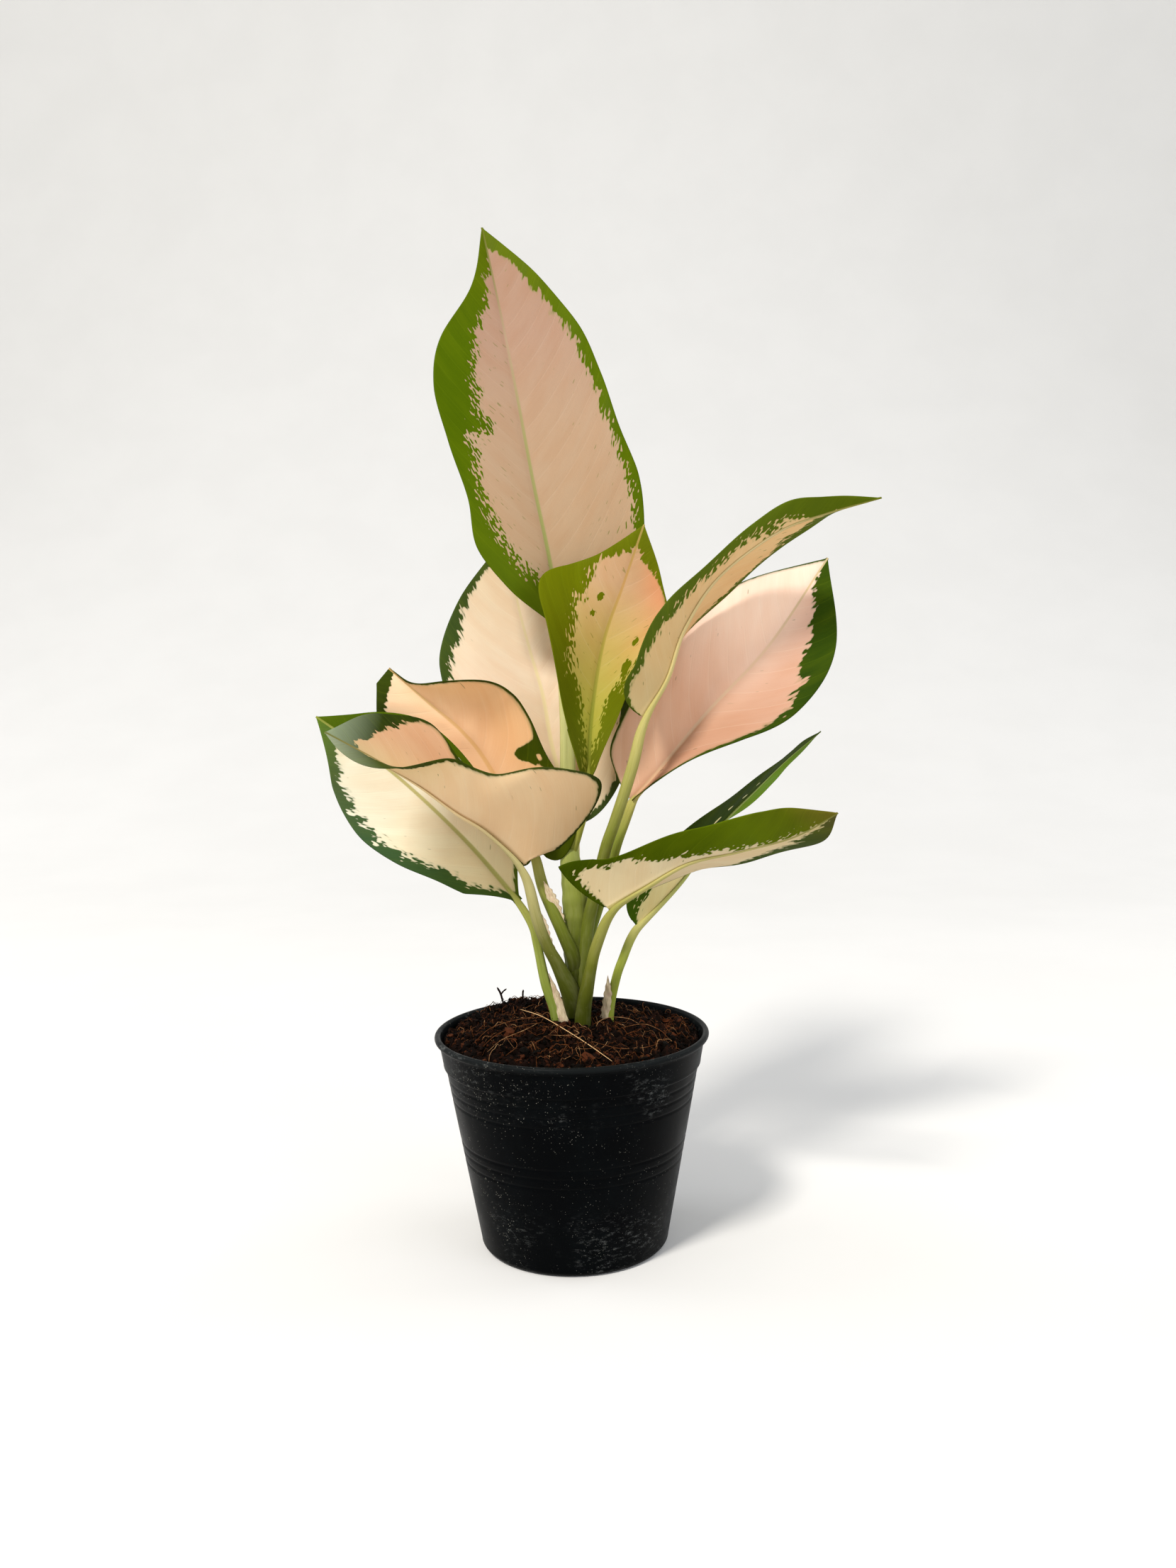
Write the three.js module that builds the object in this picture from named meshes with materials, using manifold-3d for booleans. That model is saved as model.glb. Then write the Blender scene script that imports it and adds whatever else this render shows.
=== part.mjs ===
// A potted cochin peach chinese evergreen: ten variegated leaves on clasping petioles round one short
// cane, in a black nursery pot filled with coir. Millimetres, +Z up. The origin is the centre of the
// pot's underside, and -Y is the side the plant faces.

import * as THREE from 'three';
import { mergeVertices } from 'three/addons/utils/BufferGeometryUtils.js';
import Module from 'manifold-3d';

// The pot
const POT_HEIGHT = 84;
const POT_RIM_RADIUS = 54;
const POT_BAND_RADIUS = 50.6;
const POT_BAND_BOTTOM = 72;
const POT_WALL_RADIUS = 49.8;
const POT_BASE_RADIUS = 36.7;
const POT_WALL_THICKNESS = 1.3;
const POT_BASE_THICKNESS = 1.6;
const POT_SIDES = 40;
const LIP_DEPTH = 2.4;
const GROOVE_DEPTH = 0.35;
const GROOVE_HALF_HEIGHT = 0.6;
const UPPER_GROOVES = [67.5, 63.5, 59.5];
const LOWER_GROOVES = [43, 39.4, 35.6];
const DRAIN_HOLES = 6;
const DRAIN_HOLE_RADIUS = 4;
const DRAIN_HOLE_CIRCLE = 25;

// The soil
const SOIL_EDGE_HEIGHT = 79.5;
const SOIL_MOUND_HEIGHT = 7;
const SOIL_ROUGHNESS = 0.9;
const SOIL_RINGS = 9;

// The plant
const GAP = 0.3;
const BLADE_THICKNESS = 0.8;
const BLADE_ROWS = 15;
const BLADE_COLUMNS = [-1, -0.75, -0.45, -0.18, 0, 0.18, 0.45, 0.75, 1];
const LOBE_ROUNDING = 0.14;
const RIB_RIDGE = 1.1;
const BASE_HALF_WIDTH = 1.8;
const TIP_HALF_WIDTH = 0.4;
const STALK_SIDES = 9;
const STALK_STEPS = 11;
const SHEATH_THICKNESS = 0.7;
const SCALE_TIP = 0.4;
const SCALE_ROWS = 5;

const BLADE_GREEN = '#4d7a2a';
const BLADE_PEACH = '#e0b896';
const BLADE_CREAM = '#ddd3ac';
const STEM_GREEN = '#9fae4c';

// Each leaf is written as lists of keys spread evenly from its base to its tip. `rib` is the line of the
// midrib, `face` the direction that the upper side looks in, and `width` the half width on the left and
// on the right. `lift` is the angle at which each half leaves the midrib and `curl` how much further it
// turns before its margin, both in degrees. `lobe` is how far each basal lobe reaches back past the base.
// `stalk` is the petiole's line from its foot up to the blade, and `thick` its radius along it.
const LEAVES = [
  {
    name: 'leaf_crown',
    color: BLADE_PEACH,
    rib: [[-2, 17, 243], [-6, 18, 270], [-12, 21, 301], [-18, 27, 336], [-24, 34, 369], [-32, 44, 409]],
    face: [[0.1, -1, 0.1], [0.1, -1, 0.15], [0.1, -1, 0.3]],
    width: [[5, 20, 31, 30, 33, 35, 28, 10, 0], [36, 34, 40, 42, 38, 35, 30, 18, 0]],
    lift: [[35, 30, 25, 20, 25], [5, 5, 5, 8, 15]],
    curl: [[-10, -10, -10, 0, 0], [5, 5, 5, 0, 0]],
    lobe: [2, 6],
    stalk: [[0, 9, 154.6], [0, 12, 182], [0, 15, 210], [-2, 17, 245]],
    thick: [3.4, 3.2, 3, 2.4],
  },
  {
    name: 'leaf_center',
    color: BLADE_PEACH,
    rib: [[8, 4, 182], [10, 6, 208], [15, 6, 236], [23, 3, 258], [31, -4, 280]],
    face: [[-0.1, -1, 0.1], [-0.05, -1, 0.1], [0, -1, 0.2]],
    width: [[6, 15, 21, 27, 31, 13, 0], [5, 15, 20, 22, 24, 14, 0]],
    round: 0.05,
    lift: [[35, 25, 20, 0, -10], [35, 25, 15, 10, 5]],
    curl: [[70, 60, 40, 0, -20], [60, 50, 40, 20, 10]],
    lobe: [0, 0],
    stalk: [[1, 8, 153], [3, 6, 160], [6, 4.5, 171], [8, 4, 184]],
    thick: [2, 2.2, 2.2, 2],
  },
  {
    name: 'leaf_back',
    color: BLADE_CREAM,
    rib: [[2, 20, 163], [-6, 24, 193], [-10, 28, 216], [-15, 33, 234], [-20, 39, 254], [-25, 48, 283]],
    face: [[0.1, -1, 0.3], [0.1, -1, 0.3], [0.1, -1, 0.4]],
    width: [[20, 31, 38, 40, 37, 24, 0], [19, 30, 34, 34, 30, 20, 0]],
    lift: [[15, 12, 10, 10, 10], [15, 12, 10, 10, 10]],
    curl: [[5, 5, 0], [5, 5, 0]],
    lobe: [4, 4],
    stalk: [[3, 7, 112], [3, 13, 126], [2, 17, 140], [2, 19, 153], [2, 20, 165]],
    thick: [2.6, 2.4, 2.2, 2.2, 2],
  },
  {
    name: 'leaf_right_arching',
    color: BLADE_GREEN,
    rib: [
      [29, -10, 207], [38, -10, 221], [45, -10, 240], [58, -12, 259], [80, -15, 275], [98, -20, 281],
      [116, -28, 285],
    ],
    face: [[-0.67, 0.44, 0.45], [-0.6, 0.44, 0.6], [-0.18, 0.44, 0.87]],
    width: [[8, 15, 20, 23, 21, 12, 0], [17, 16, 17, 14, 9, 9, 10, 6, 0]],
    lift: [[40, 25, 5, 15, 35], [30, 15, 10, 20, 20]],
    curl: [[5, 5, 5], [10, 15, 10]],
    lobe: [0, 2],
    stalk: [[7, 1, 125.6], [10, 0, 138], [15, -3, 158], [18, -4, 166], [23, -7, 181], [27, -9, 195], [29, -10, 209]],
    thick: [3, 2.8, 2.4, 2.3, 2.2, 2],
  },
  {
    name: 'leaf_right_broad',
    color: BLADE_PEACH,
    rib: [[25, 5, 174], [35, 7, 184], [56, 11, 208], [81, 14, 234], [106, 21, 269]],
    face: [[0, -1, 0.3], [0.1, -1, 0.3], [0.2, -1, 0.4]],
    width: [[12, 20, 25, 30, 32, 24, 0], [4, 6, 11, 21, 27, 22, 0]],
    lift: [[12, 10, 8, 8, 10], [70, 55, 25, 10, 5]],
    curl: [[5, 5, 0], [10, 10, 0]],
    lobe: [0, 0],
    stalk: [[6, 4, 117], [10, 6, 128], [15, 6, 143], [19, 5, 157], [22, 5, 165], [26, 5, 175]],
    thick: [2.4, 2.3, 2.2, 2.2, 1.9],
  },
  {
    name: 'leaf_left_upper',
    color: BLADE_PEACH,
    rib: [[-14, 7, 155], [-31, 7, 188], [-41, 4, 202], [-54, 1, 214], [-68, -3, 227]],
    face: [[0.1, -1, 0], [0.15, -1, 0.1], [0.15, -1, 0.25]],
    width: [[10, 18, 24, 27, 27, 26, 24, 19, 8], [10, 23, 22, 24, 25, 22, 15, 3, 0]],
    lift: [[-5, -10, -12, -5, 10], [15, 10, 15, 50, 70]],
    curl: [[-5, -5, 0], [5, 5, 0]],
    lobe: [16, 24],
    stalk: [[2, 2, 104], [1, -1, 113], [-3, -2, 123], [-7, 0, 132], [-11, 3, 142], [-14, 7, 156]],
    thick: [3.2, 3, 2.5, 2.4, 2.3, 1.9],
  },
  {
    name: 'leaf_left_front',
    color: BLADE_CREAM,
    rib: [[-17, -8, 146], [-31, -16, 163], [-41, -24, 173], [-54, -32, 184], [-68, -42, 194], [-83, -52, 204]],
    face: [[0.5, 0.3, 0.7], [0.4, 0.1, 0.9], [0.35, 0, 0.9]],
    width: [[43, 43, 33, 22, 18, 18, 14, 9, 0], [20, 22, 20, 18, 19, 26, 23, 16, 0]],
    lift: [[75, 60, 55, 5, -60], [55, 55, 55, 50, 35]],
    curl: [[10, 10, 20, 10, 0], [10, 10, 0]],
    lobe: [13, 6],
    stalk: [[1, 0, 90], [0, -3, 99], [-5, -5, 111], [-9, -6, 119], [-13, -7, 130], [-17, -8, 147]],
    thick: [4.2, 4, 2.8, 2.4, 2.3, 1.9],
  },
  {
    name: 'leaf_left_lower',
    color: BLADE_CREAM,
    rib: [[-20, 0.5, 135], [-39, 0, 158], [-61, -4, 181], [-79, -9, 197], [-94, -15, 209]],
    face: [[0.1, -1, 0.2], [0.1, -1, 0.2], [0.1, -1, 0.3]],
    width: [[5, 14, 20, 26, 28, 25, 19, 9, 0], [6, 13, 18, 22, 24, 23, 17, 8, 0]],
    lift: [[15, 12, 10, 10, 10], [15, 12, 10, 10, 10]],
    curl: [[5, 5, 0], [5, 5, 0]],
    lobe: [0, 0],
    stalk: [[-6, -2, 70], [-6, -2, 89], [-10, -2, 103], [-13, -1, 118], [-15, -1, 126], [-20.5, 0, 136]],
    thick: [2.2, 2.2, 2, 1.7, 1.6, 1.5],
  },
  {
    name: 'leaf_right_front',
    color: BLADE_GREEN,
    rib: [[15, -14, 134], [28, -16, 142], [45, -20, 152], [64, -26, 157], [83, -34, 163], [97, -42, 172]],
    face: [[-0.35, 0.77, 0.64], [-0.1, 0.53, 0.85], [-0.1, 0.53, 0.85]],
    width: [[6, 15, 22, 20, 18, 14, 0], [24, 24, 18, 16, 17, 19, 19, 14, 0]],
    round: 0.1,
    lift: [[38, 20, 8, 5, -10], [40, 25, 8, 8, 10]],
    curl: [[5, 5, 0], [5, 15, 15]],
    lobe: [0, 22],
    stalk: [[4.5, -4, 70], [4.5, -4, 90], [6, -6, 100], [8, -8, 110], [10, -9, 118], [16, -14, 135]],
    thick: [3.2, 3.2, 2.8, 2.3, 2.2, 2],
  },
  {
    name: 'leaf_right_low',
    color: BLADE_GREEN,
    rib: [[27, 8, 123], [45, 12, 141], [60, 17, 161], [76, 22, 176], [91, 27, 189], [105, 33, 199]],
    face: [[-0.6, 0.8, 0.3], [-0.6, 0.45, 0.65], [-0.6, 0.4, 0.7]],
    width: [[6, 10, 12, 17, 22, 19, 0], [18, 22, 22, 18, 13, 7, 0]],
    lift: [[80, 50, 10, 5, 5], [5, 0, -8, -8, -5]],
    curl: [[5, 5, 0], [5, 5, 0]],
    lobe: [0, 3],
    stalk: [[15, 4, 70], [15, 4, 89], [18, 5, 103], [21, 6, 111], [24, 7, 118], [28, 8, 124.5]],
    thick: [1.9, 1.9, 1.8, 1.8, 1.8, 1.7],
  },
];

// The parts of the cane: the central stem that carries the crown leaf's sheath, and the broad foot of the
// arching leaf's petiole beside it.
const CANE_TUBES = [
  { stalk: [[1.5, 1.5, 55], [1.5, 1.5, 88], [2.5, 3, 109], [2, 4, 120], [2, 6, 134], [0, 9, 154]],
    thick: [4.6, 4.6, 5, 5.2, 5, 3.8] },
  { stalk: [[4, 1, 88], [4.5, 0.5, 97], [5, 0.5, 110], [7, 1, 125]], thick: [3.6, 3.8, 3.8, 3.3] },
];

// Dry papery sheath margins that stand beside the foot of a petiole. The keys are those of a leaf.
const SCALES = [
  { on: 'leaf_left_lower', rib: [[-5.5, -2.4, 84], [-6.5, -2.4, 92], [-8, -2.2, 99], [-10, -2, 107]],
    face: [[0, -1, 0], [0, -1, 0]], width: [[1.2, 1.2, 1, 0], [2.6, 2.4, 1.9, 0]] },
  { on: 'leaf_right_low', rib: [[13.6, 3.8, 84], [14.4, 3.6, 91], [14.9, 3.4, 98], [15.2, 3.2, 105]],
    face: [[0, -1, 0], [0, -1, 0]], width: [[2.4, 1.8, 1.2, 0], [1.2, 1.6, 2, 0]] },
  { on: 'leaf_left_front', rib: [[-6.4, -5.6, 114], [-9, -6.2, 121], [-10.2, -6.6, 127], [-11.2, -7, 132]],
    face: [[0, -1, 0], [0, -1, 0]], width: [[1, 1, 1, 0], [1.6, 1.8, 1.5, 0]] },
  { on: 'leaf_left_upper', rib: [[-4, -1.6, 126], [-6.4, -1, 132.5], [-8.4, -0.6, 138], [-10, -0.2, 143]],
    face: [[0, -1, 0], [0, -1, 0]], width: [[1, 1, 1, 0], [1.8, 2.2, 1.8, 0]] },
];

const wasm = await Module();
wasm.setup();

function smooth(keys, t) {
  // A Catmull-Rom curve through evenly spaced keys, which may be numbers or points.
  const last = keys.length - 1;
  const place = Math.min(Math.max(t, 0), 1) * last;
  const i = Math.min(Math.floor(place), last - 1);
  const f = place - i;
  const key = (k) => {
    if (k < 0) return mix(keys[0], keys[1], -1);
    if (k > last) return mix(keys[last], keys[last - 1], -1);
    return keys[k];
  };
  const blend = (a, b, c, d) =>
    0.5 * (2 * b + (c - a) * f + (2 * a - 5 * b + 4 * c - d) * f * f + (3 * b - a - 3 * c + d) * f * f * f);
  const [a, b, c, d] = [key(i - 1), key(i), key(i + 1), key(i + 2)];
  return typeof b === 'number' ? blend(a, b, c, d) : b.map((_, n) => blend(a[n], b[n], c[n], d[n]));
}

function mix(from, to, share) {
  const between = (p, q) => p + (q - p) * share;
  return typeof from === 'number' ? between(from, to) : from.map((p, n) => between(p, to[n]));
}

function point(keys, t) {
  return new THREE.Vector3(...smooth(keys, t));
}

function tangent(keys, t) {
  const step = 1e-3;
  return point(keys, Math.min(t + step, 1)).sub(point(keys, Math.max(t - step, 0))).normalize();
}

function leafPoint(leaf, t, u) {
  // The middle of the blade at t along the midrib, and at u across it, from -1 at the left margin to 1.
  const side = u < 0 ? 0 : 1;
  const across = Math.abs(u);
  const rounding = Math.sqrt(1 - (1 - Math.min(t / (leaf.round ?? LOBE_ROUNDING), 1)) ** 2);
  const least = TIP_HALF_WIDTH + (BASE_HALF_WIDTH - TIP_HALF_WIDTH) * (1 - t) ** 2;
  const half = Math.max(smooth(leaf.width[side], t) * rounding, leaf.least ?? least);
  const lift = THREE.MathUtils.degToRad(leaf.lift ? smooth(leaf.lift[side], t) : 0);
  const turn = THREE.MathUtils.degToRad(leaf.curl ? smooth(leaf.curl[side], t) : 0);
  const curl = Math.abs(turn) < 1e-3 ? 1e-3 : turn;
  const out = (half / curl) * (Math.sin(lift + curl * across) - Math.sin(lift));
  const up = (half / curl) * (Math.cos(lift) - Math.cos(lift + curl * across));
  const back = leaf.lobe ? leaf.lobe[side] * across ** 1.5 * (1 - t) ** 4 * rounding : 0;
  const along = tangent(leaf.rib, t);
  const faces = leaf.face.map((f) => new THREE.Vector3(...f).normalize().toArray());
  const normal = point(faces, t);
  normal.addScaledVector(along, -normal.dot(along)).normalize();
  const right = new THREE.Vector3().crossVectors(along, normal);
  return point(leaf.rib, t)
    .addScaledVector(right, side ? out : -out)
    .addScaledVector(normal, up)
    .addScaledVector(along, -back);
}

function leafNormal(leaf, t, u) {
  const step = 1e-3;
  const near = (value, low, high) => [Math.max(value - step, low), Math.min(value + step, high)];
  const [t0, t1] = near(t, 0, 1);
  const [u0, u1] = near(u, -1, 1);
  const along = leafPoint(leaf, t1, u).sub(leafPoint(leaf, t0, u));
  const across = leafPoint(leaf, t, u1).sub(leafPoint(leaf, t, u0));
  return across.cross(along).normalize();
}

function blade(leaf, rows, columns, thickness, ridge) {
  // A thin plate along the leaf's surface, with both faces split alike and closed round the edge. The
  // rows stand closer together at the base and the tip, where the outline turns most.
  const positions = [];
  const wide = columns.length;
  const layer = (rows + 1) * wide;
  for (const face of [1, -1]) {
    for (let i = 0; i <= rows; i += 1) {
      const even = i / rows;
      const t = even - 0.11 * Math.sin(2 * Math.PI * even);
      for (const u of columns) {
        const rib = face < 0 && u === 0 ? ridge * (1 - t) : 0;
        const offset = leafNormal(leaf, t, u).multiplyScalar(face * (thickness / 2 + rib));
        positions.push(...leafPoint(leaf, t, u).add(offset).toArray());
      }
    }
  }
  const indices = [];
  const quad = (a, b, c, d) => indices.push(a, b, c, a, c, d);
  for (let i = 0; i < rows; i += 1) {
    for (let j = 0; j < wide - 1; j += 1) {
      const a = i * wide + j;
      quad(a, a + 1, a + 1 + wide, a + wide);
      indices.push(layer + a, layer + a + 1 + wide, layer + a + 1);
      indices.push(layer + a, layer + a + wide, layer + a + 1 + wide);
    }
    const left = i * wide;
    const right = left + wide - 1;
    quad(left, left + wide, layer + left + wide, layer + left);
    quad(right + wide, right, layer + right, layer + right + wide);
  }
  for (let j = 0; j < wide - 1; j += 1) {
    const top = rows * wide + j;
    quad(j + 1, j, layer + j, layer + j + 1);
    quad(top, top + 1, layer + top + 1, layer + top);
  }
  const geometry = new THREE.BufferGeometry();
  geometry.setAttribute('position', new THREE.Float32BufferAttribute(positions, 3));
  geometry.setIndex(indices);
  return geometry;
}

function stalk(path, thick, grow = 0) {
  // A capped cylinder bent along a line, with its radius following its own keys.
  const geometry = new THREE.CylinderGeometry(1, 1, 1, STALK_SIDES, STALK_STEPS);
  const position = geometry.attributes.position;
  const depth = new THREE.Vector3(0, 1, 0);
  for (let i = 0; i < position.count; i += 1) {
    const t = position.getY(i) + 0.5;
    const radius = smooth(thick, t) + grow;
    const along = tangent(path, t);
    const right = new THREE.Vector3().crossVectors(depth, along).normalize();
    const forward = new THREE.Vector3().crossVectors(right, along);
    const place = point(path, t)
      .addScaledVector(right, radius * position.getX(i))
      .addScaledVector(forward, radius * position.getZ(i))
      .addScaledVector(along, grow * (2 * t - 1));
    position.setXYZ(i, place.x, place.y, place.z);
  }
  return geometry;
}

function solid(geometry) {
  // The closed solid of a geometry: its shared vertices merged and its collapsed triangles dropped.
  geometry.deleteAttribute('normal');
  geometry.deleteAttribute('uv');
  const merged = mergeVertices(geometry, 1e-4);
  const corners = merged.index.array;
  const kept = [];
  for (let i = 0; i < corners.length; i += 3) {
    const [a, b, c] = corners.slice(i, i + 3);
    if (a !== b && b !== c && c !== a) kept.push(a, b, c);
  }
  return new wasm.Manifold(new wasm.Mesh({
    numProp: 3,
    vertProperties: merged.attributes.position.array,
    triVerts: new Uint32Array(kept),
  }));
}

function piece(name, shape, color, roughness, metalness = 0) {
  const { vertProperties, triVerts } = shape.getMesh();
  const geometry = new THREE.BufferGeometry();
  geometry.setAttribute('position', new THREE.BufferAttribute(vertProperties, 3));
  geometry.setIndex(new THREE.BufferAttribute(triVerts, 1));
  geometry.computeVertexNormals();
  const mesh = new THREE.Mesh(geometry, new THREE.MeshStandardMaterial({ color, roughness, metalness }));
  mesh.name = name;
  return mesh;
}

function turned(profile, sides) {
  // The solid of revolution of [radius, height] pairs, turned about the vertical axis.
  const geometry = new THREE.LatheGeometry(profile.map(([r, z]) => new THREE.Vector2(r, z)), sides);
  return geometry.rotateX(Math.PI / 2);
}

function wallRadius(z) {
  return POT_BASE_RADIUS + ((POT_WALL_RADIUS - POT_BASE_RADIUS) * z) / (POT_BAND_BOTTOM - 0.5);
}

function groove(z) {
  return [
    [wallRadius(z - GROOVE_HALF_HEIGHT), z - GROOVE_HALF_HEIGHT],
    [wallRadius(z) - GROOVE_DEPTH, z],
    [wallRadius(z + GROOVE_HALF_HEIGHT), z + GROOVE_HALF_HEIGHT],
  ];
}

function buildPot() {
  const inside = wallRadius(0) - POT_WALL_THICKNESS;
  const grooves = [...UPPER_GROOVES, ...LOWER_GROOVES].sort((a, b) => a - b);
  const profile = [
    [0, 0],
    [POT_BASE_RADIUS - 3.2, 0],
    [POT_BASE_RADIUS - 1, 0.7],
    [wallRadius(2.6), 2.6],
    ...grooves.flatMap(groove),
    [POT_WALL_RADIUS, POT_BAND_BOTTOM - 0.5],
    [POT_BAND_RADIUS, POT_BAND_BOTTOM],
    [POT_RIM_RADIUS - 1.8, POT_HEIGHT - LIP_DEPTH - 0.4],
    [POT_RIM_RADIUS - 0.3, POT_HEIGHT - LIP_DEPTH],
    [POT_RIM_RADIUS, POT_HEIGHT - LIP_DEPTH + 0.6],
    [POT_RIM_RADIUS, POT_HEIGHT - 0.6],
    [POT_RIM_RADIUS - 0.5, POT_HEIGHT],
    [POT_RIM_RADIUS - 2, POT_HEIGHT],
    [POT_RIM_RADIUS - 2.6, POT_HEIGHT - 0.7],
    [POT_BAND_RADIUS - POT_WALL_THICKNESS, POT_BAND_BOTTOM],
    [POT_WALL_RADIUS - POT_WALL_THICKNESS, POT_BAND_BOTTOM - 1],
    [inside + 0.3, POT_BASE_THICKNESS + 1.6],
    [inside - 1.6, POT_BASE_THICKNESS],
    [0, POT_BASE_THICKNESS],
  ];
  let pot = solid(turned(profile, POT_SIDES));
  for (let i = 0; i < DRAIN_HOLES; i += 1) {
    const angle = (2 * Math.PI * (i + 0.5)) / DRAIN_HOLES;
    const hole = new THREE.CylinderGeometry(DRAIN_HOLE_RADIUS, DRAIN_HOLE_RADIUS, 4 * POT_BASE_THICKNESS, 16);
    hole.rotateX(Math.PI / 2);
    hole.translate(DRAIN_HOLE_CIRCLE * Math.cos(angle), DRAIN_HOLE_CIRCLE * Math.sin(angle), 0);
    pot = pot.subtract(solid(hole));
  }
  return pot;
}

function soilHeight(x, y) {
  // A low mound, higher at the back left, with lumps and chips standing out of it.
  const share = Math.hypot(x, y) / POT_WALL_RADIUS;
  const heap = 2.5 * Math.exp(-((x + 20) ** 2 + (y - 20) ** 2) / 420);
  const lumps = Math.sin(0.55 * x + 1.3) * Math.sin(0.48 * y + 0.4) + 0.7 * Math.sin(0.9 * x - 0.7 * y);
  return SOIL_EDGE_HEIGHT + SOIL_MOUND_HEIGHT * (1 - share * share) + heap + SOIL_ROUGHNESS * lumps;
}

function buildSoil(stems) {
  const edge = POT_WALL_RADIUS - POT_WALL_THICKNESS - GAP;
  const bottom = POT_BASE_THICKNESS + GAP;
  const foot = wallRadius(0) - POT_WALL_THICKNESS - GAP;
  const profile = [
    [0, bottom],
    [foot - 1.8, bottom],
    [foot, bottom + 1.8],
    [edge, POT_BAND_BOTTOM - 1],
  ];
  for (let ring = SOIL_RINGS; ring >= 0; ring -= 1) {
    profile.push([((edge + 0.8) * ring) / SOIL_RINGS, SOIL_EDGE_HEIGHT]);
  }
  const geometry = turned(profile, POT_SIDES);
  const position = geometry.attributes.position;
  for (let i = 0; i < position.count; i += 1) {
    if (position.getZ(i) > POT_BAND_BOTTOM) {
      position.setZ(i, soilHeight(position.getX(i), position.getY(i)));
    }
  }
  return stems.reduce((soil, stem) => soil.subtract(stem), solid(geometry));
}

function scale(margin, grow = 0) {
  // One sheath margin, or with grow the room it needs in the soil.
  const foot = [...margin.rib[0]];
  foot[2] -= 2 * grow;
  const width = margin.width.map((side) => side.map((half) => half + grow));
  const plain = { ...margin, rib: [foot, ...margin.rib.slice(1)], width, least: SCALE_TIP + grow, round: 0.001 };
  return solid(blade(plain, SCALE_ROWS, [-1, 0, 1], SHEATH_THICKNESS + 2 * grow, 0));
}

function largest(shape) {
  // The body itself, without any scrap that a cut has left beside it.
  return shape.decompose().reduce((best, body) => (body.volume() > best.volume() ? body : best));
}

function joined(shapes) {
  return shapes.reduce((whole, shape) => whole.add(shape));
}

function tubes(list, grow) {
  return joined(list.map((tube) => solid(stalk(tube.stalk, tube.thick, grow))));
}

const potted = new THREE.Group();
potted.name = 'potted_chinese_evergreen';

const cane = tubes(CANE_TUBES, 0);
const grownCane = tubes(CANE_TUBES, GAP);
const footed = LEAVES.filter((leaf) => leaf.stalk[0][2] < SOIL_EDGE_HEIGHT);

const leaves = [];
let standing = grownCane;
for (const leaf of LEAVES) {
  let shape = solid(stalk(leaf.stalk, leaf.thick)).add(
    solid(blade(leaf, BLADE_ROWS, BLADE_COLUMNS, BLADE_THICKNESS, RIB_RIDGE)),
  );
  for (const margin of SCALES.filter((one) => one.on === leaf.name)) {
    shape = shape.add(scale(margin));
  }
  leaves.push(piece(leaf.name, largest(shape.subtract(standing)), leaf.color, 0.45));
  standing = standing.add(solid(stalk(leaf.stalk, leaf.thick, GAP)));
}

const stems = [
  grownCane,
  ...footed.map((leaf) => solid(stalk(leaf.stalk, leaf.thick, GAP))),
  ...SCALES.map((margin) => scale(margin, GAP)),
];

potted.add(
  piece('pot', buildPot(), '#121413', 0.45),
  piece('soil', buildSoil(stems), '#43231a', 0.95),
  piece('cane', cane, STEM_GREEN, 0.5),
  ...leaves,
);

export default potted;
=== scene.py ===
"""A potted cochin peach chinese evergreen, dressed in the shared frame.

The pot's bottom centre is the origin, up is +Z and the viewer is on the -Y side. The leaves, stalks, cane, pot and
soil are worked out in millimetres, as in the part's source, and finish_piece turns them into metres with MM.
"""

import math

import bpy
import numpy as np
from mathutils import Matrix


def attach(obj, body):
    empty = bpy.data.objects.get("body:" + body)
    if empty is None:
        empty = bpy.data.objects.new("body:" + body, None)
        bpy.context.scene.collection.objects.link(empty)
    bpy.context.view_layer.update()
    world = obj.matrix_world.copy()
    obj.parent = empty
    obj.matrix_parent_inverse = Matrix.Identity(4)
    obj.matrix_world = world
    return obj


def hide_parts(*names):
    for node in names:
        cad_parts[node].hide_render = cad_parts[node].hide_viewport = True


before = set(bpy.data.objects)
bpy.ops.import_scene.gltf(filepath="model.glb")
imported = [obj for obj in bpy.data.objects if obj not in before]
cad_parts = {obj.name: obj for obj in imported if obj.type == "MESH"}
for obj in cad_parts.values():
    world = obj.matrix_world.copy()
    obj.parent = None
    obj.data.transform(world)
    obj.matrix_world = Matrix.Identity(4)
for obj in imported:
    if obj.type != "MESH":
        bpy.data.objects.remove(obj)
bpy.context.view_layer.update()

MM = 0.001
FULL_TURN = 2 * math.pi
VEIN_SPACING = 11.0  # mm of midrib from one lateral vein to the next

# ---------------------------------------------------------------- curves through chosen values


def through(keys, t):
    """The smooth curve through evenly spaced keys: each span is the cubic whose slope at a key is half the step
    between the keys on either side of it, and the row of keys is carried on straight at both ends. keys are numbers
    or rows, and t runs from 0 to 1."""
    keys = np.asarray(keys, float)
    plain = keys.ndim == 1
    rows = keys[:, None] if plain else keys
    spans = len(rows) - 1
    rows = np.vstack([2 * rows[0] - rows[1], rows, 2 * rows[-1] - rows[-2]])
    place = np.clip(np.asarray(t, float), 0, 1) * spans
    span = np.minimum(place.astype(int), spans - 1)
    f = (place - span)[..., None]
    before, start, end, after = rows[span], rows[span + 1], rows[span + 2], rows[span + 3]
    out = 0.5 * (
        2 * start
        + (end - before) * f
        + (2 * before - 5 * start + 4 * end - after) * f**2
        + (3 * start - before - 3 * end + after) * f**3
    )
    return out[..., 0] if plain else out


def heading(keys, t):
    """The point at t on the curve through keys and the unit tangent there."""
    tiny = 1e-3
    return through(keys, t), unit(through(keys, np.minimum(t + tiny, 1)) - through(keys, np.maximum(t - tiny, 0)))


def unit(v):
    """v at length one along its last axis."""
    return v / np.maximum(np.linalg.norm(v, axis=-1, keepdims=True), 1e-12)


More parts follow.
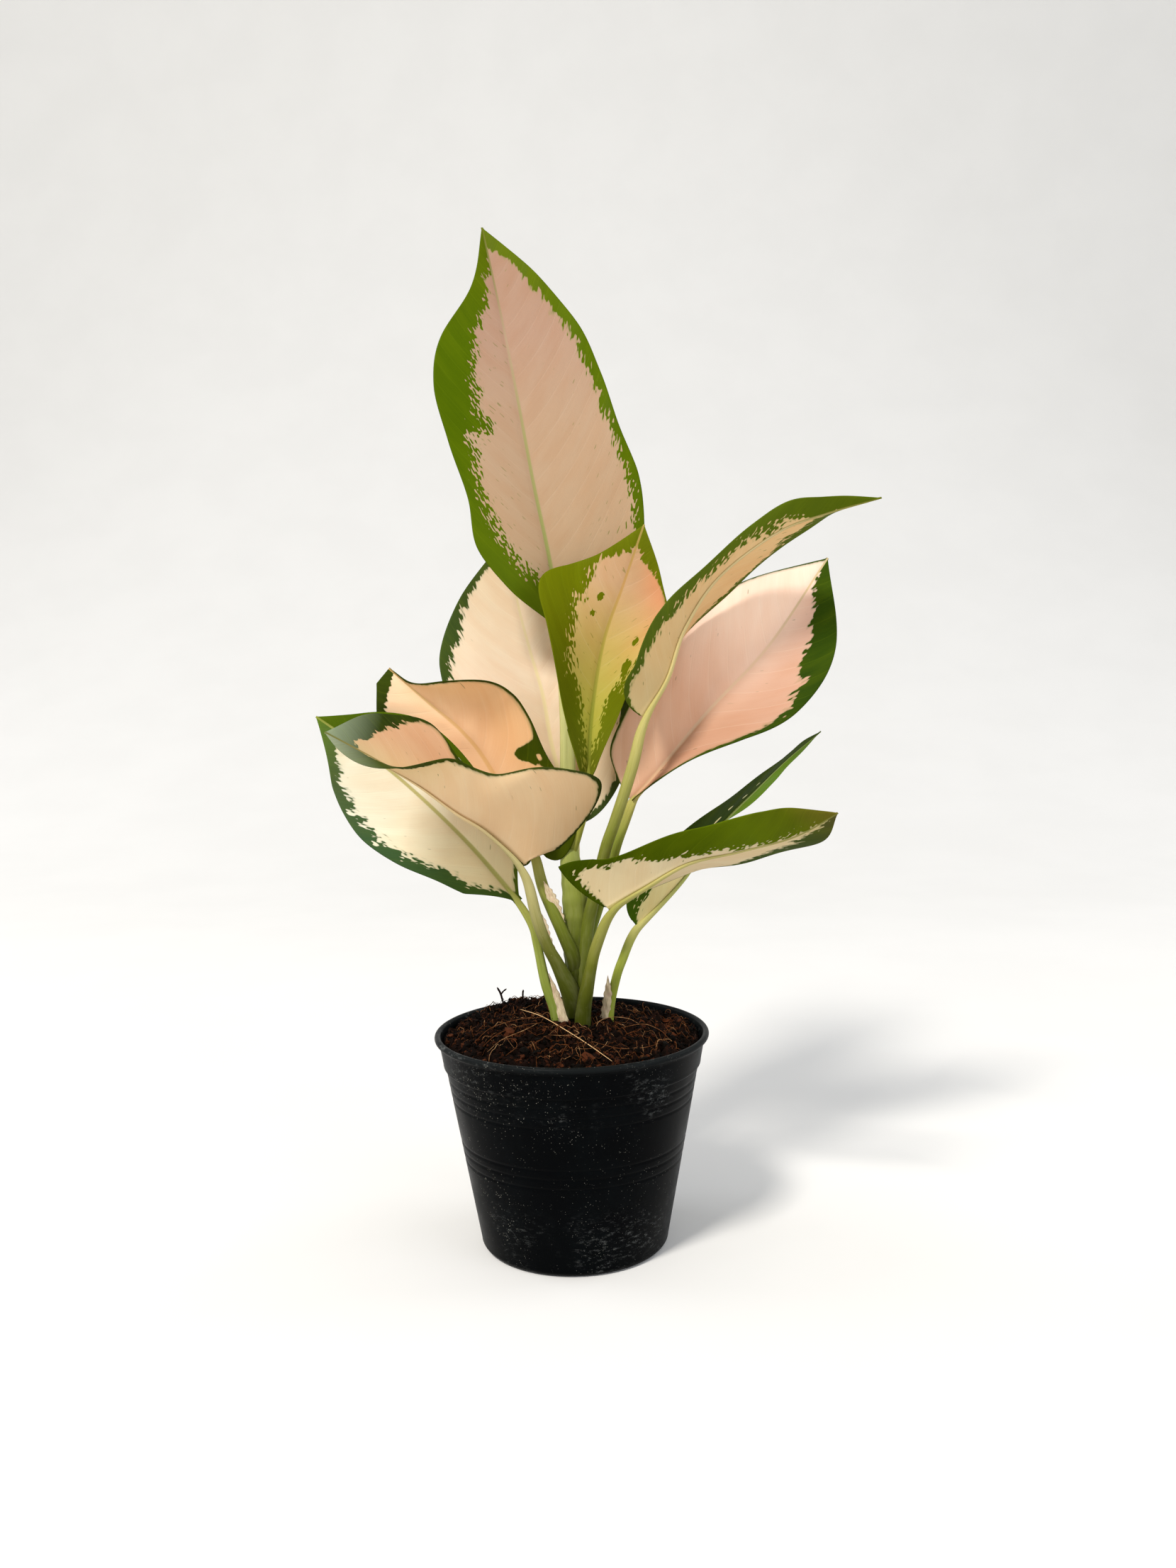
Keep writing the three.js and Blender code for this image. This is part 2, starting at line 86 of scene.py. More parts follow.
def across(a, b):
    """The dot product along the last axis, kept as a column."""
    return np.sum(a * b, axis=-1, keepdims=True)


def bell(x, width):
    """A bell curve of height one: exp(-(x / width)^2)."""
    return np.exp(-((x / width) ** 2))


def ramp(x, low, high):
    """Zero below low, one above high and a smooth s between them."""
    f = np.clip((x - low) / (high - low), 0, 1)
    return f * f * (3 - 2 * f)


# ---------------------------------------------------------------- colours


def linear(code):
    """An sRGB colour such as "#7a8c3d" as the three linear numbers that Blender mixes."""
    s = np.array([int(code[i : i + 2], 16) for i in (1, 3, 5)]) / 255
    return np.where(s <= 0.04045, s / 12.92, ((s + 0.055) / 1.055) ** 2.4)


def rgba(code):
    """The same colour with an alpha of one, as a shader socket takes it."""
    return (*linear(code), 1.0)


def colours(codes, t):
    """The colour at t along an evenly spaced row of sRGB codes in one string, mixed in linear light."""
    rows = np.array([linear(code) for code in codes.split()])
    place = np.clip(t, 0, 1) * (len(rows) - 1)
    i = np.minimum(place.astype(int), len(rows) - 2)
    f = (place - i)[..., None]
    return rows[i] * (1 - f) + rows[i + 1] * f


# ---------------------------------------------------------------- meshes from arrays


def finish_piece(name, points, faces, material, slot, node, smooth=True, **attributes):
    """A mesh object from points in mm and a list of arrays of quads or triangles. Each attribute is one number, three
    numbers or a colour of four for every point. The object rides on the root and replaces the CAD node named."""
    mesh = bpy.data.meshes.new(name)
    mesh.vertices.add(len(points))
    mesh.vertices.foreach_set("co", np.asarray(points * MM, np.float32).ravel())
    corners = np.concatenate([np.asarray(group, np.int32).ravel() for group in faces])
    sizes = np.concatenate([np.full(len(group), np.shape(group)[1], np.int32) for group in faces])
    mesh.loops.add(len(corners))
    mesh.loops.foreach_set("vertex_index", corners)
    mesh.polygons.add(len(sizes))
    mesh.polygons.foreach_set("loop_start", np.concatenate([[0], np.cumsum(sizes)[:-1]]).astype(np.int32))
    mesh.polygons.foreach_set("use_smooth", np.full(len(sizes), smooth))
    mesh.update(calc_edges=True)
    for key, values in attributes.items():
        values = np.asarray(values, np.float32)
        width = 1 if values.ndim == 1 else values.shape[1]
        kind, field = {1: ("FLOAT", "value"), 3: ("FLOAT_VECTOR", "vector"), 4: ("FLOAT_COLOR", "color")}[width]
        mesh.attributes.new(key, kind, "POINT").data.foreach_set(field, values.ravel())
    mesh.validate()
    mesh.materials.append(material)
    piece = bpy.data.objects.new(name, mesh)
    bpy.context.scene.collection.objects.link(piece)
    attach(piece, "root")
    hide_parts(node)
    return piece


def with_alpha(rows):
    """Rows of three linear numbers as colours of four."""
    return np.concatenate([rows, np.ones((len(rows), 1))], axis=1)


def grid_faces(rows, columns, start=0, wrap=False):
    """The quads of a rows x columns grid of points numbered row by row from start. Seen with the rows going up and the
    columns going right, they face the viewer. With wrap the last column joins the first."""
    r = np.arange(rows - 1)[:, None]
    c = np.arange(columns if wrap else columns - 1)[None, :]
    d = (c + 1) % columns
    a = r * columns + c
    b = r * columns + d
    return np.stack([a, b, b + columns, a + columns], axis=-1).reshape(-1, 4) + start


def ring_faces(rows, sides):
    """The faces of a closed shape made of rings: the quads between the rings, and a fan at each end. The points are
    the rings in order, then the middle of the first fan and the middle of the last."""
    side = np.arange(sides)
    after = (side + 1) % sides
    last, middle = (rows - 1) * sides, rows * sides
    first_fan = np.stack([after, side, np.full(sides, middle)], axis=1)
    last_fan = np.stack([last + side, last + after, np.full(sides, middle + 1)], axis=1)
    return [grid_faces(rows, sides, wrap=True), np.concatenate([first_fan, last_fan])]


def plate(top, under):
    """Points and faces of a closed plate: two grids of points of the same size, joined by a wall round their rim."""
    rows, columns = top.shape[:2]
    count = rows * columns
    rim = np.concatenate(
        [
            np.arange(columns),
            np.arange(1, rows) * columns + columns - 1,
            (rows - 1) * columns + np.arange(columns - 2, -1, -1),
            np.arange(rows - 2, 0, -1) * columns,
        ]
    )
    after = np.roll(rim, -1)
    wall = np.stack([after, rim, rim + count, after + count], axis=1)
    points = np.concatenate([top.reshape(-1, 3), under.reshape(-1, 3)])
    return points, [grid_faces(rows, columns), grid_faces(rows, columns, count)[:, ::-1], wall]


def lathe(profile, sides):
    """Points of a profile of (radius, height) rows turned about the z axis, row by row."""
    turn = np.arange(sides) / sides * FULL_TURN
    radius, height = profile[:, 0:1], profile[:, 1:2]
    return np.stack([radius * np.cos(turn), radius * np.sin(turn), height + 0 * turn], axis=-1).reshape(-1, 3)


def tube(path, radius, sides, about, shape=1):
    """Points and faces of a closed tube: round every path point lies a ring at that radius, square to the path, whose
    zero angle leans towards about. shape scales each ring by angle."""
    path = np.asarray(path, float)
    steps = len(path)
    tangent = unit(np.gradient(path, axis=0))
    lead = np.broadcast_to(np.asarray(about, float), path.shape)
    first = unit(lead - across(lead, tangent) * tangent)
    second = np.cross(tangent, first)
    angle = np.arange(sides)[:, None] / sides * FULL_TURN
    size = np.broadcast_to(np.asarray(radius, float), (steps,))[:, None] * shape
    size = np.broadcast_to(size, (steps, sides))[..., None]
    ring = path[:, None] + size * (first[:, None] * np.cos(angle) + second[:, None] * np.sin(angle))
    return np.concatenate([ring.reshape(-1, 3), path[:1], path[-1:]]), ring_faces(steps, sides)


# ---------------------------------------------------------------- materials

# node types and settings by the short names that the finishes below give them
KINDS = {
    "plus": ("Math", {"operation": "ADD"}),
    "minus": ("Math", {"operation": "SUBTRACT"}),
    "times": ("Math", {"operation": "MULTIPLY"}),
    "over": ("Math", {"operation": "DIVIDE"}),
    "least": ("Math", {"operation": "MINIMUM"}),
    "size": ("Math", {"operation": "ABSOLUTE"}),
    "fraction": ("Math", {"operation": "FRACT"}),
    "stretch": ("VectorMath", {"operation": "MULTIPLY"}),
    "step": ("MapRange", {"interpolation_type": "SMOOTHSTEP"}),
    "mix": ("Mix", {"data_type": "RGBA"}),
    "tint": ("Mix", {"data_type": "RGBA", "blend_type": "MULTIPLY"}),
    "noise": ("TexNoise", {}),
    "cells": ("TexVoronoi", {"feature": "F1"}),
    "split": ("SeparateXYZ", {}),
    "place": ("TexCoord", {}),
    "own": ("Attribute", {}),
}
MIDDLING = 0.55  # the share of each finer layer in most of the noises


class Finish:
    """A material with an empty node tree, filled by add alone."""

    def __init__(self, name):
        self.material = bpy.data.materials.new(name)
        self.material.use_nodes = True
        self.tree = self.material.node_tree
        self.tree.nodes.clear()

    def add(self, kind, *inputs, out=None, **named):
        """Adds a node of a kind above, or of Blender's own type. inputs go to its sockets in use, in their order. A
        name with a capital is a socket, any other a setting. Another node's output is joined, a plain value is set.
        It returns the output called out, all those in use for "all", or else the first one in use."""
        kind, settings = KINDS.get(kind, (kind, {}))
        node = self.tree.nodes.new("ShaderNode" + kind)
        settings = {**settings, **{key: value for key, value in named.items() if key[0].islower()}}
        for key, value in settings.items():
            setattr(node, key, value)
        pairs = list(zip([socket for socket in node.inputs if socket.enabled], inputs))
        pairs += [(node.inputs[key.replace("_", " ")], named[key]) for key in named if key not in settings]
        for socket, value in pairs:
            if isinstance(value, bpy.types.NodeSocket):
                self.tree.links.new(value, socket)
            else:
                socket.default_value = value
        outputs = [socket for socket in node.outputs if socket.enabled]
        if out == "all" or not outputs:
            return outputs
        return node.outputs[out] if out else outputs[0]

    def surface(self, colour, rough, gloss, relief, strength, depth, glow=None, share=0.0):
        """Ends the tree and gives back the material: a skin with bumps of that depth in metres and, where glow is a
        colour, that share of light coming through from behind."""
        bump = self.add("Bump", Strength=strength, Distance=depth, Height=relief)
        skin = self.add("BsdfPrincipled", Base_Color=colour, Roughness=rough, Specular_IOR_Level=gloss, Normal=bump)
        if glow:
            skin = self.add("MixShader", share, skin, self.add("BsdfTranslucent", Color=glow, Normal=bump))
        self.add("OutputMaterial", skin)
        return self.material


def leaf_finish():
    """Thin variegated leaf blade, grown and hardly waxed: a pale centre and a green margin that break into each other
    along the veins, an olive midrib, fine lateral veins, a nearly matt skin, and light coming through from behind.
    Patterns follow flow: mm out from the midrib, mm along the rib where the vein starts, and the leaf's own step."""
    m = Finish("variegated leaf blade")
    add = m.add
    flow, habit = (add("own", attribute_name=name, out="Vector") for name in ("flow", "habit"))
    edge, middle, upper = (add("own", attribute_name=name, out="Fac") for name in ("edge", "middle", "upper"))
    pale, deep, rib = (add("own", attribute_name=name, out="Color") for name in ("pale", "deep", "rib"))
    speckle, veined, fray = add("split", habit, out="all")
    # the border wanders over 10 mm, its teeth are 1.5 x 3.3 mm and its flecks 1 x 1.6 mm; green scatter in the pale is
    # 3.5 x 1.5 mm, clouds are 17 x 11 mm, and the grain along the veins is 0.4 mm wide
    wander, teeth, flecks, scatter, cloud, grain = (
        add("noise", add("stretch", flow, (outward, along, 1.0)), scale, detail, rough)
        for outward, along, scale, detail, rough in (
            (0.1, 0.11, 1.0, 2.0, MIDDLING),
            (0.66, 0.3, 1.0, 0.0, MIDDLING),
            (0.95, 0.62, 1.0, 0.0, MIDDLING),
            (0.22, 0.5, 1.3, 1.0, 0.5),
            (0.06, 0.09, 1.0, 2.0, MIDDLING),
            (0.08, 2.6, 1.0, 2.0, 0.7),
        )
    )
    # line: mm inside the border between green and pale, made ragged by up to 4 mm of wander and 3 mm of teeth
    ragged = add("plus", add("times", add("minus", wander, 0.5), 8.0), add("times", add("minus", teeth, 0.5), 5.5))
    line = add("plus", edge, add("times", ragged, fray))
    reach = add("step", add("size", line), 1.0, 11.0, 1.0, 0.0)
    # pale islands in the green are many, green ones in the pale few
    reach = add("times", reach, add("step", line, -1.0, 1.5, 1.0, 0.2))
    reach = add("times", add("times", reach, fray), add("times", speckle, 30.0))
    line = add("plus", line, add("times", add("minus", flecks, 0.5), reach))
    is_pale = add("step", line, -0.45, 0.35)
    # a half-green veil just inside the border, as where only one layer of the blade is green
    veil = add("step", line, 0.1, 1.3, 0.55, 0.0)
    limit = add("minus", 0.76, add("times", add("least", speckle, 0.5), 0.14))
    scattered = add("step", add("minus", scatter, limit), 0.0, 0.03)
    scattered = add("times", scattered, add("step", line, 4.0, 22.0, 0.75, 0.0))
    # a lateral vein runs where flow's second number is half-way between two multiples of the spacing
    _, vein_start, _ = add("split", flow, out="all")
    vein = add("size", add("minus", add("fraction", add("over", vein_start, VEIN_SPACING)), 0.5))
    vein = add("times", add("step", vein, 0.0, 0.05, 1.0, 0.0), add("step", middle, 0.5, 3.5))
    light = add("mix", add("step", cloud, 0.35, 0.68, 0.0, 0.16), pale, add("tint", 1.0, pale, rgba("#f0c9a0")))
    light = add("mix", add("step", grain, 0.4, 0.75, 0.0, 0.08), light, add("tint", 1.0, pale, rgba("#e0b58a")))
    light = add("mix", add("times", vein, veined), light, add("mix", 0.5, pale, rgba("#fbf0da")))
    dark = add("mix", add("step", grain, 0.35, 0.75, 0.0, 0.28), deep, add("tint", 1.0, deep, rgba("#b4c070")))
    dark = add("mix", add("step", cloud, 0.4, 0.7, 0.0, 0.25), dark, add("mix", 0.3, deep, rgba("#8a9a10")))
    dark = add("mix", add("times", vein, 0.2), dark, add("mix", 0.25, deep, rgba("#9ab020")))
    half_green = add("mix", 0.5, pale, add("mix", 0.5, deep, rgba("#8c9a30")))
    light = add("mix", veil, light, half_green)
    light = add("mix", scattered, light, add("mix", 0.6, half_green, deep))
    colour = add("mix", is_pale, dark, light)
    on_rib = add("times", add("step", middle, 0.5, 1.15, 1.0, 0.0), add("step", grain, 0.2, 0.6, 0.65, 1.0))
    colour = add("mix", on_rib, colour, rib)
    # the underside is a little rougher than the upper face
    rough = add("plus", add("step", cloud, 0.3, 0.7, 0.46, 0.58), add("times", add("minus", 1.0, upper), 0.1))
    pores = add("noise", add("place", out="Object"), 2600.0, 2.0, MIDDLING)  # 0.4 mm
    relief = add("plus", add("times", grain, 0.5), add("times", pores, 0.35))
    relief = add("minus", relief, add("times", vein, 0.45))
    glow = add("tint", 1.0, colour, rgba("#fff8de"))
    return m.surface(colour, rough, 0.025, relief, 0.32, 0.00022, glow, 0.26)


def stalk_finish():
    """Leaf stalk and young stem, smooth living skin: olive to cream, with long faint streaks 0.4 mm wide, clouds
    2 x 8 mm, small pale flecks 0.5 x 1.4 mm and a satin gloss."""
    m = Finish("smooth leaf stalk")
    add = m.add
    flow = add("own", attribute_name="flow", out="Vector")
    colour = add("own", attribute_name="tone", out="Color")
    streak = add("noise", add("stretch", flow, (2.6, 0.06, 1.0)), 1.0, 3.0, 0.6)
    cloud = add("noise", add("stretch", flow, (0.5, 0.12, 1.0)), 1.0, 2.0, MIDDLING)
    fleck = add("noise", add("stretch", flow, (2.2, 0.7, 1.0)), 1.0, 2.0, MIDDLING)
    shade = add("mix", add("step", streak, 0.35, 0.7, 0.0, 0.4), colour, add("tint", 1.0, colour, rgba("#cdd09a")))
    shade = add("mix", add("step", cloud, 0.42, 0.68, 0.0, 0.25), shade, add("mix", 0.14, colour, rgba("#dcd3ae")))
    shade = add("mix", add("step", fleck, 0.7, 0.78, 0.0, 0.25), shade, rgba("#c9c592"))
    return m.surface(shade, 0.5, 0.05, streak, 0.4, 0.0002)


def husk_finish():
    """Dry sheath margin: papery, whitish and pinkish tan, with brown streaks 0.3 mm wide along it, blotches 2 x 3 mm
    and a torn dark edge, thin enough to glow a little."""
    m = Finish("dry papery sheath")
    add = m.add
    flow = add("own", attribute_name="flow", out="Vector")
    edge = add("own", attribute_name="edge", out="Fac")
    streak = add("noise", add("stretch", flow, (3.0, 0.25, 1.0)), 1.0, 3.0, 0.65)
    blotch = add("noise", add("stretch", flow, (0.5, 0.3, 1.0)), 1.0, 2.0, MIDDLING)
    colour = add("mix", add("step", streak, 0.35, 0.7), rgba("#e8d6b2"), rgba("#b8a27a"))
    colour = add("mix", add("step", blotch, 0.5, 0.68, 0.0, 0.6), colour, rgba("#ceac90"))
    colour = add("mix", add("step", edge, 0.0, 0.3, 0.5, 0.0), colour, rgba("#8d6f4d"))
    return m.surface(colour, 0.7, 0.5, streak, 0.6, 0.0003, colour, 0.2)


def pot_finish():
    """Black moulded polypropylene: near black with a soft sheen, a fine orange-peel skin, whitish handling scuffs
    under the rim and low down, and specks of peat dust. A noise of scale n has features of 1000 / n mm."""
    m = Finish("black moulded polypropylene")
    add = m.add
    place = add("place", out="Object")
    across_pot, _, height = add("split", place, out="all")
    # dust: one speck in each 0.9 mm cell, its size set by the place's share of dust, more on the left
    dust = add("cells", place, Scale=1150.0, Randomness=1.0)
    share = add("noise", place, 420.0, 2.0, MIDDLING)
    drift = add("noise", place, 26.0, 2.0, MIDDLING)
    side = add("step", across_pot, -0.045, 0.02, 1.0, 0.62)
    wide = add("times", add("step", share, 0.4, 0.62), add("times", side, add("step", drift, 0.32, 0.6, 0.12, 0.32)))
    speck = add("step", dust, 0.0, wide, 1.0, 0.0)
    # scuffs: 3 mm scratches in 30 mm patches, in a band under the rim and in one near the foot
    patch = add("noise", place, 34.0, 3.0, MIDDLING)
    scrape = add("noise", add("stretch", place, (1.0, 1.0, 2.2)), 320.0, 6.0, 0.8)
    band = add("plus", add("step", height, 0.058, 0.066), add("step", height, 0.012, 0.03, 0.8, 0.0))
    where = add("times", add("step", patch, 0.42, 0.6), band, use_clamp=True)
    scuff = add("times", add("step", scrape, 0.52, 0.66), where)
    film = add("noise", place, 60.0, 5.0, 0.7)
    colour = add("mix", add("step", film, 0.4, 0.75, 0.0, 0.25), rgba("#020304"), rgba("#0a1012"))
    # the rolled lip is painted paler than the wall, a painted highlight along it
    colour = add("mix", add("step", height, 0.0812, 0.0832, 0.0, 0.5), colour, rgba("#1c1f1f"))
    colour = add("mix", add("times", scuff, 0.24), colour, rgba("#8f9290"))
    colour = add("mix", add("times", speck, 0.9), colour, rgba("#8a887e"))
    rough = add("plus", add("step", film, 0.3, 0.7, 0.3, 0.42), add("times", scuff, 0.25))
    peel = add("noise", place, 1500.0, 2.0, MIDDLING)
    relief = add("plus", add("times", peel, 0.6), add("times", speck, 1.2))
    return m.surface(colour, rough, 0.025, relief, 0.25, 0.00012)


def soil_finish(name, codes, rough):
    """Damp coir and bark: dark red-brown crumbs mottled from near black to rust in clumps of 6 mm and crumbs of 1 mm,
    rough, with a slight wet gloss."""
    m = Finish(name)
    add = m.add
    place = add("place", out="Object")
    tone = add("own", attribute_name="tone", out="Fac")
    clump, crumb = (add("noise", place, scale, 4.0, 0.7) for scale in (160.0, 900.0))
    mottle = add("plus", add("times", clump, 0.6), add("times", crumb, 0.4))
    mottle = add("plus", mottle, add("times", add("minus", tone, 0.5), 0.9))
    colour = add("mix", add("step", mottle, 0.25, 0.55), rgba(codes[0]), rgba(codes[1]))
    colour = add("mix", add("step", mottle, 0.55, 0.95), colour, rgba(codes[2]))
    return m.surface(colour, rough, 0.05, crumb, 0.8, 0.0005)


LEAF = leaf_finish()
STALK = stalk_finish()
HUSK = husk_finish()
PLASTIC = pot_finish()
SOIL = soil_finish("damp coir soil", ("#030100", "#0e0603", "#281209"), 0.85)
CHIP = soil_finish("coconut husk chips", ("#040200", "#130703", "#442210"), 0.8)
FIBRE = soil_finish("coconut fibre", ("#150a05", "#5a3216", "#d2aa78"), 0.7)

# ---------------------------------------------------------------- the leaves

PLATE = 0.5  # blade thickness
THIN_RIM = 0.55  # share of the thickness lost at the rim
RIM_ROUND = 0.14  # share of the length over which a blade opens from its stalk
HALF_WIDTH_AT_BASE, HALF_WIDTH_AT_TIP = 1.8, 0.4
VEIN_SLANT, VEIN_BEND = 0.75, 0.45  # mm forward for each mm outward at the midrib, and how much more at the rim
VEIN_OFFSET = 2.5  # mm by which the veins on the right start later
GUTTER, GUTTER_WIDTH = 0.45, 1.3  # depth and half width of the groove over the midrib
RIDGE_FLAT = 0.6  # height of the midrib ridge beside its width
QUILT = 0.1  # how far the blade rises between two veins
RIPPLE_LENGTH = 7.5  # mm of rim for each radian of its ripple
LEAF_STEP = 50.0  # sets the pattern of each leaf apart from the last one's
FAR_INSIDE = 60.0  # the most that the edge attribute says
BLADE_ROWS, BLADE_COLUMNS = 121, 73
RIB_SAMPLES = 200


class Leaf:
    """One blade and its stalk, in mm, with every row going from base to tip.

    rib and face (the way the upper face looks), width, lift, curl and lobe give the blade. round is the share of its
    length over which it opens, pointed makes that opening straight, and bay below one draws the lobes back sooner.
    ripple and quilt are heights. stalk and thick give the tube below. margin is the width of green, speckle how much
    of it is broken up, veins how pale the lateral veins are, and turning where the left row of pale colours gives way
    to the right one, as shares of the half width. patches are spots of green: (t, side, length, width, strength),
    where a negative strength is pale. pale, deep, midrib and stem are colours. A row given in two goes left, right."""

    def __init__(self, name, **values):
        self.name = name
        self.round = RIM_ROUND
        self.patches = ()
        self.ripple = 0.5
        self.speckle = 0.3
        self.veins = 0.15
        self.pointed = 0.0
        self.turning = (-0.25, 0.7)
        self.bay = 1.0
        self.quilt = QUILT
        self.__dict__.update(values)

    def rounding(self, t):
        """How far the blade has opened at t: a quarter circle, or nearer a straight line where it is pointed."""
        q = np.clip(t / self.round, 0, 1)
        return np.sqrt(np.clip(1 - (1 - q) ** 2, 0, 1)) * (1 - self.pointed) + q * self.pointed

    def half_width(self, t, right):
        """From the rib to the rim at t: the width's row, opened at the base and never less than a thin strip."""
        least = HALF_WIDTH_AT_TIP + (HALF_WIDTH_AT_BASE - HALF_WIDTH_AT_TIP) * (1 - t) ** 2
        rounded = [np.maximum(through(self.width[i], t) * self.rounding(t), least) for i in (0, 1)]
        return np.where(right, rounded[1], rounded[0])

    def along(self, t):
        """Rib point, tangent, normal of the upper face and direction to the right at t."""
        rib, tangent = heading(self.rib, t)
        facing = through(unit(np.array(self.face, float)), t)
        normal = unit(facing - across(facing, tangent) * tangent)
        return rib, tangent, normal, np.cross(tangent, normal)

    def toned(self, codes, t, right):
        """Colours along t, from one row of codes or from two mixed by how far to the right a point is, from 0 to 1."""
        if isinstance(codes, str):
            return colours(codes, t)
        share = np.asarray(right, float)[..., None]
        return colours(codes[1], t) * share + colours(codes[0], t) * (1 - share)

    def sided(self, rows, t, right):
        """The value at t from the right or the left row."""
        return np.where(right, through(rows[1], t), through(rows[0], t))

    def surface(self, t, u):
        """The middle of the blade in mm. From the rib each half leaves at its lift angle and bends by its curl, along
        a circular arc as long as the half width. Beside the stalk both halves are drawn back along the rib by
        lobe |u|^1.5 (1 - t)^4 times the opening to the power bay."""
        right = u > 0
        w = np.abs(u)
        rib, tangent, normal, aside = self.along(t)
        half = self.half_width(t, right)
        lift = np.radians(self.sided(self.lift, t, right))
        curl = np.radians(self.sided(self.curl, t, right))
        curl = np.where(np.abs(curl) < 1e-3, 1e-3, curl)  # a nearly straight arc, not a division by zero
        out = half / curl * (np.sin(lift + curl * w) - np.sin(lift))
        rise = half / curl * (np.cos(lift) - np.cos(lift + curl * w))
        lobe = np.where(right, self.lobe[1], self.lobe[0])
        back = lobe * w**1.5 * (1 - t) ** 4 * self.rounding(t) ** self.bay
        sign = np.where(right, 1.0, -1.0)
        return rib + aside * (sign * out)[..., None] + normal * rise[..., None] - tangent * back[..., None]


def path_length(path):
    """The length of a path up to each of its points."""
    return np.concatenate([[0], np.cumsum(np.linalg.norm(np.diff(path, axis=0), axis=1))])


def blade(leaf, number):
    """The blade as a closed plate. Its middle is the leaf's surface, raised between the lateral veins by
    quilt (sin^2 - 1/2), sunk along the midrib by a bell and rippled along the rim by a sine; the two faces lie half a
    thickness to each side of it. The pattern's distances are kept as attributes: flow, edge (mm inside the green
    margin), middle (1 at the midrib's side, whose width tapers) and habit (speckle, veins, fray of the border)."""
    s = np.linspace(0, 1, BLADE_ROWS)
    t = (s - 0.06 * np.sin(FULL_TURN * s))[:, None]  # closer rows at base and tip
    v = np.linspace(-1, 1, BLADE_COLUMNS)[None, :]
    u = np.sign(v) * np.abs(v) ** 0.9
    t, u = np.broadcast_arrays(t, u)
    right = u > 0
    w = np.abs(u)
    half = leaf.half_width(t, right)
    samples = np.linspace(0, 1, RIB_SAMPLES)
    reach = path_length(through(leaf.rib, samples))
    out = w * half
    start = np.interp(t, samples, reach) - out * (VEIN_SLANT + VEIN_BEND * w)
    start = start + np.where(right, VEIN_OFFSET, 0) + 3.0 * number
    middle = leaf.surface(t, u)
    normal = unit(np.cross(np.gradient(middle, axis=1), np.gradient(middle, axis=0)))
    _, _, facing, _ = leaf.along(t)
    normal = np.where(across(normal, facing) < 0, -normal, normal)
    flat_rim = ramp(1 - w, 0, 0.12) * ramp(1 - t, 0, 0.06) * ramp(t, 0, 0.05)
    quilt = leaf.quilt * (np.sin(math.pi * start / VEIN_SPACING - math.pi / 2) ** 2 - 0.5)
    quilt = quilt * flat_rim * ramp(out, 1.0, 5.0)
    gutter = -GUTTER * bell(out, GUTTER_WIDTH) * (1 - 0.6 * t)
    wave = leaf.ripple * np.sin(start / RIPPLE_LENGTH + 2.1 * number + 3 * right) * w**3
    wave = wave * ramp(t, 0.05, 0.2) * ramp(1 - t, 0, 0.2)
    middle = middle + normal * (quilt + gutter + wave)[..., None]
    shell = normal * (PLATE * (1 - THIN_RIM * w**4) / 2)[..., None]
    points, faces = plate(middle + shell, middle - shell)
    green = leaf.sided(leaf.margin, t, right)
    fray = np.clip((green - 0.6) / 4.5, 0.04, 1)  # a narrow margin is even, a broad one ragged
    edge = np.minimum((1 - w) * half - green, FAR_INSIDE)
    for at, side, long, wide, strength in leaf.patches:
        spot = bell((t - at) * reach[-1], long) * bell((u - side) * half, wide)
        edge = edge - strength * spot
        fray = np.maximum(fray, 0.7 * spot)
    if isinstance(leaf.speckle, list):
        speckle = leaf.sided(leaf.speckle, t, right)
    else:
        speckle = np.full(t.shape, leaf.speckle)

    def both(values):
        """The values of a grid for the upper face and again for the lower one."""
        flat = values.reshape(t.size, *values.shape[2:])
        return np.concatenate([flat, flat])

    finish_piece(
        "blade_" + leaf.name, points, faces, LEAF, "leaf", "leaf_" + leaf.name,
        flow=both(np.stack([out * np.where(right, 1, -1), start, np.full(t.shape, LEAF_STEP * number)], axis=-1)),
        edge=both(edge),
        middle=both(out / (0.45 + 0.75 * (1 - t))),
        upper=np.repeat([1.0, 0.0], t.size),
        habit=both(np.stack([speckle, np.full(t.shape, leaf.veins), fray], axis=-1)),
        pale=with_alpha(both(leaf.toned(leaf.pale, t, ramp(u, *leaf.turning)))),
        deep=with_alpha(both(leaf.toned(leaf.deep, t, right))),
        rib=with_alpha(both(colours(leaf.midrib, t))),
    )


STALK_SIDES, STALK_STEPS, RIB_STEPS = 28, 70, 70
SHARED_RINGS = 3  # of the stalk's own, left out where the rib's begin
BLEND_RINGS, BLEND_ROUNDS = 9.0, 14  # how far and how often the turn into the blade is smoothed
RIDGE_SHARE, RIDGE_LEAST = 0.62, 0.25  # the ridge's radius beside the stalk's top, and at the tip
CHANNEL_DEPTH, CHANNEL_ANGLE = 0.2, 0.5
MM_ROUND = 2.5  # mm of pattern for each radian round the stalk


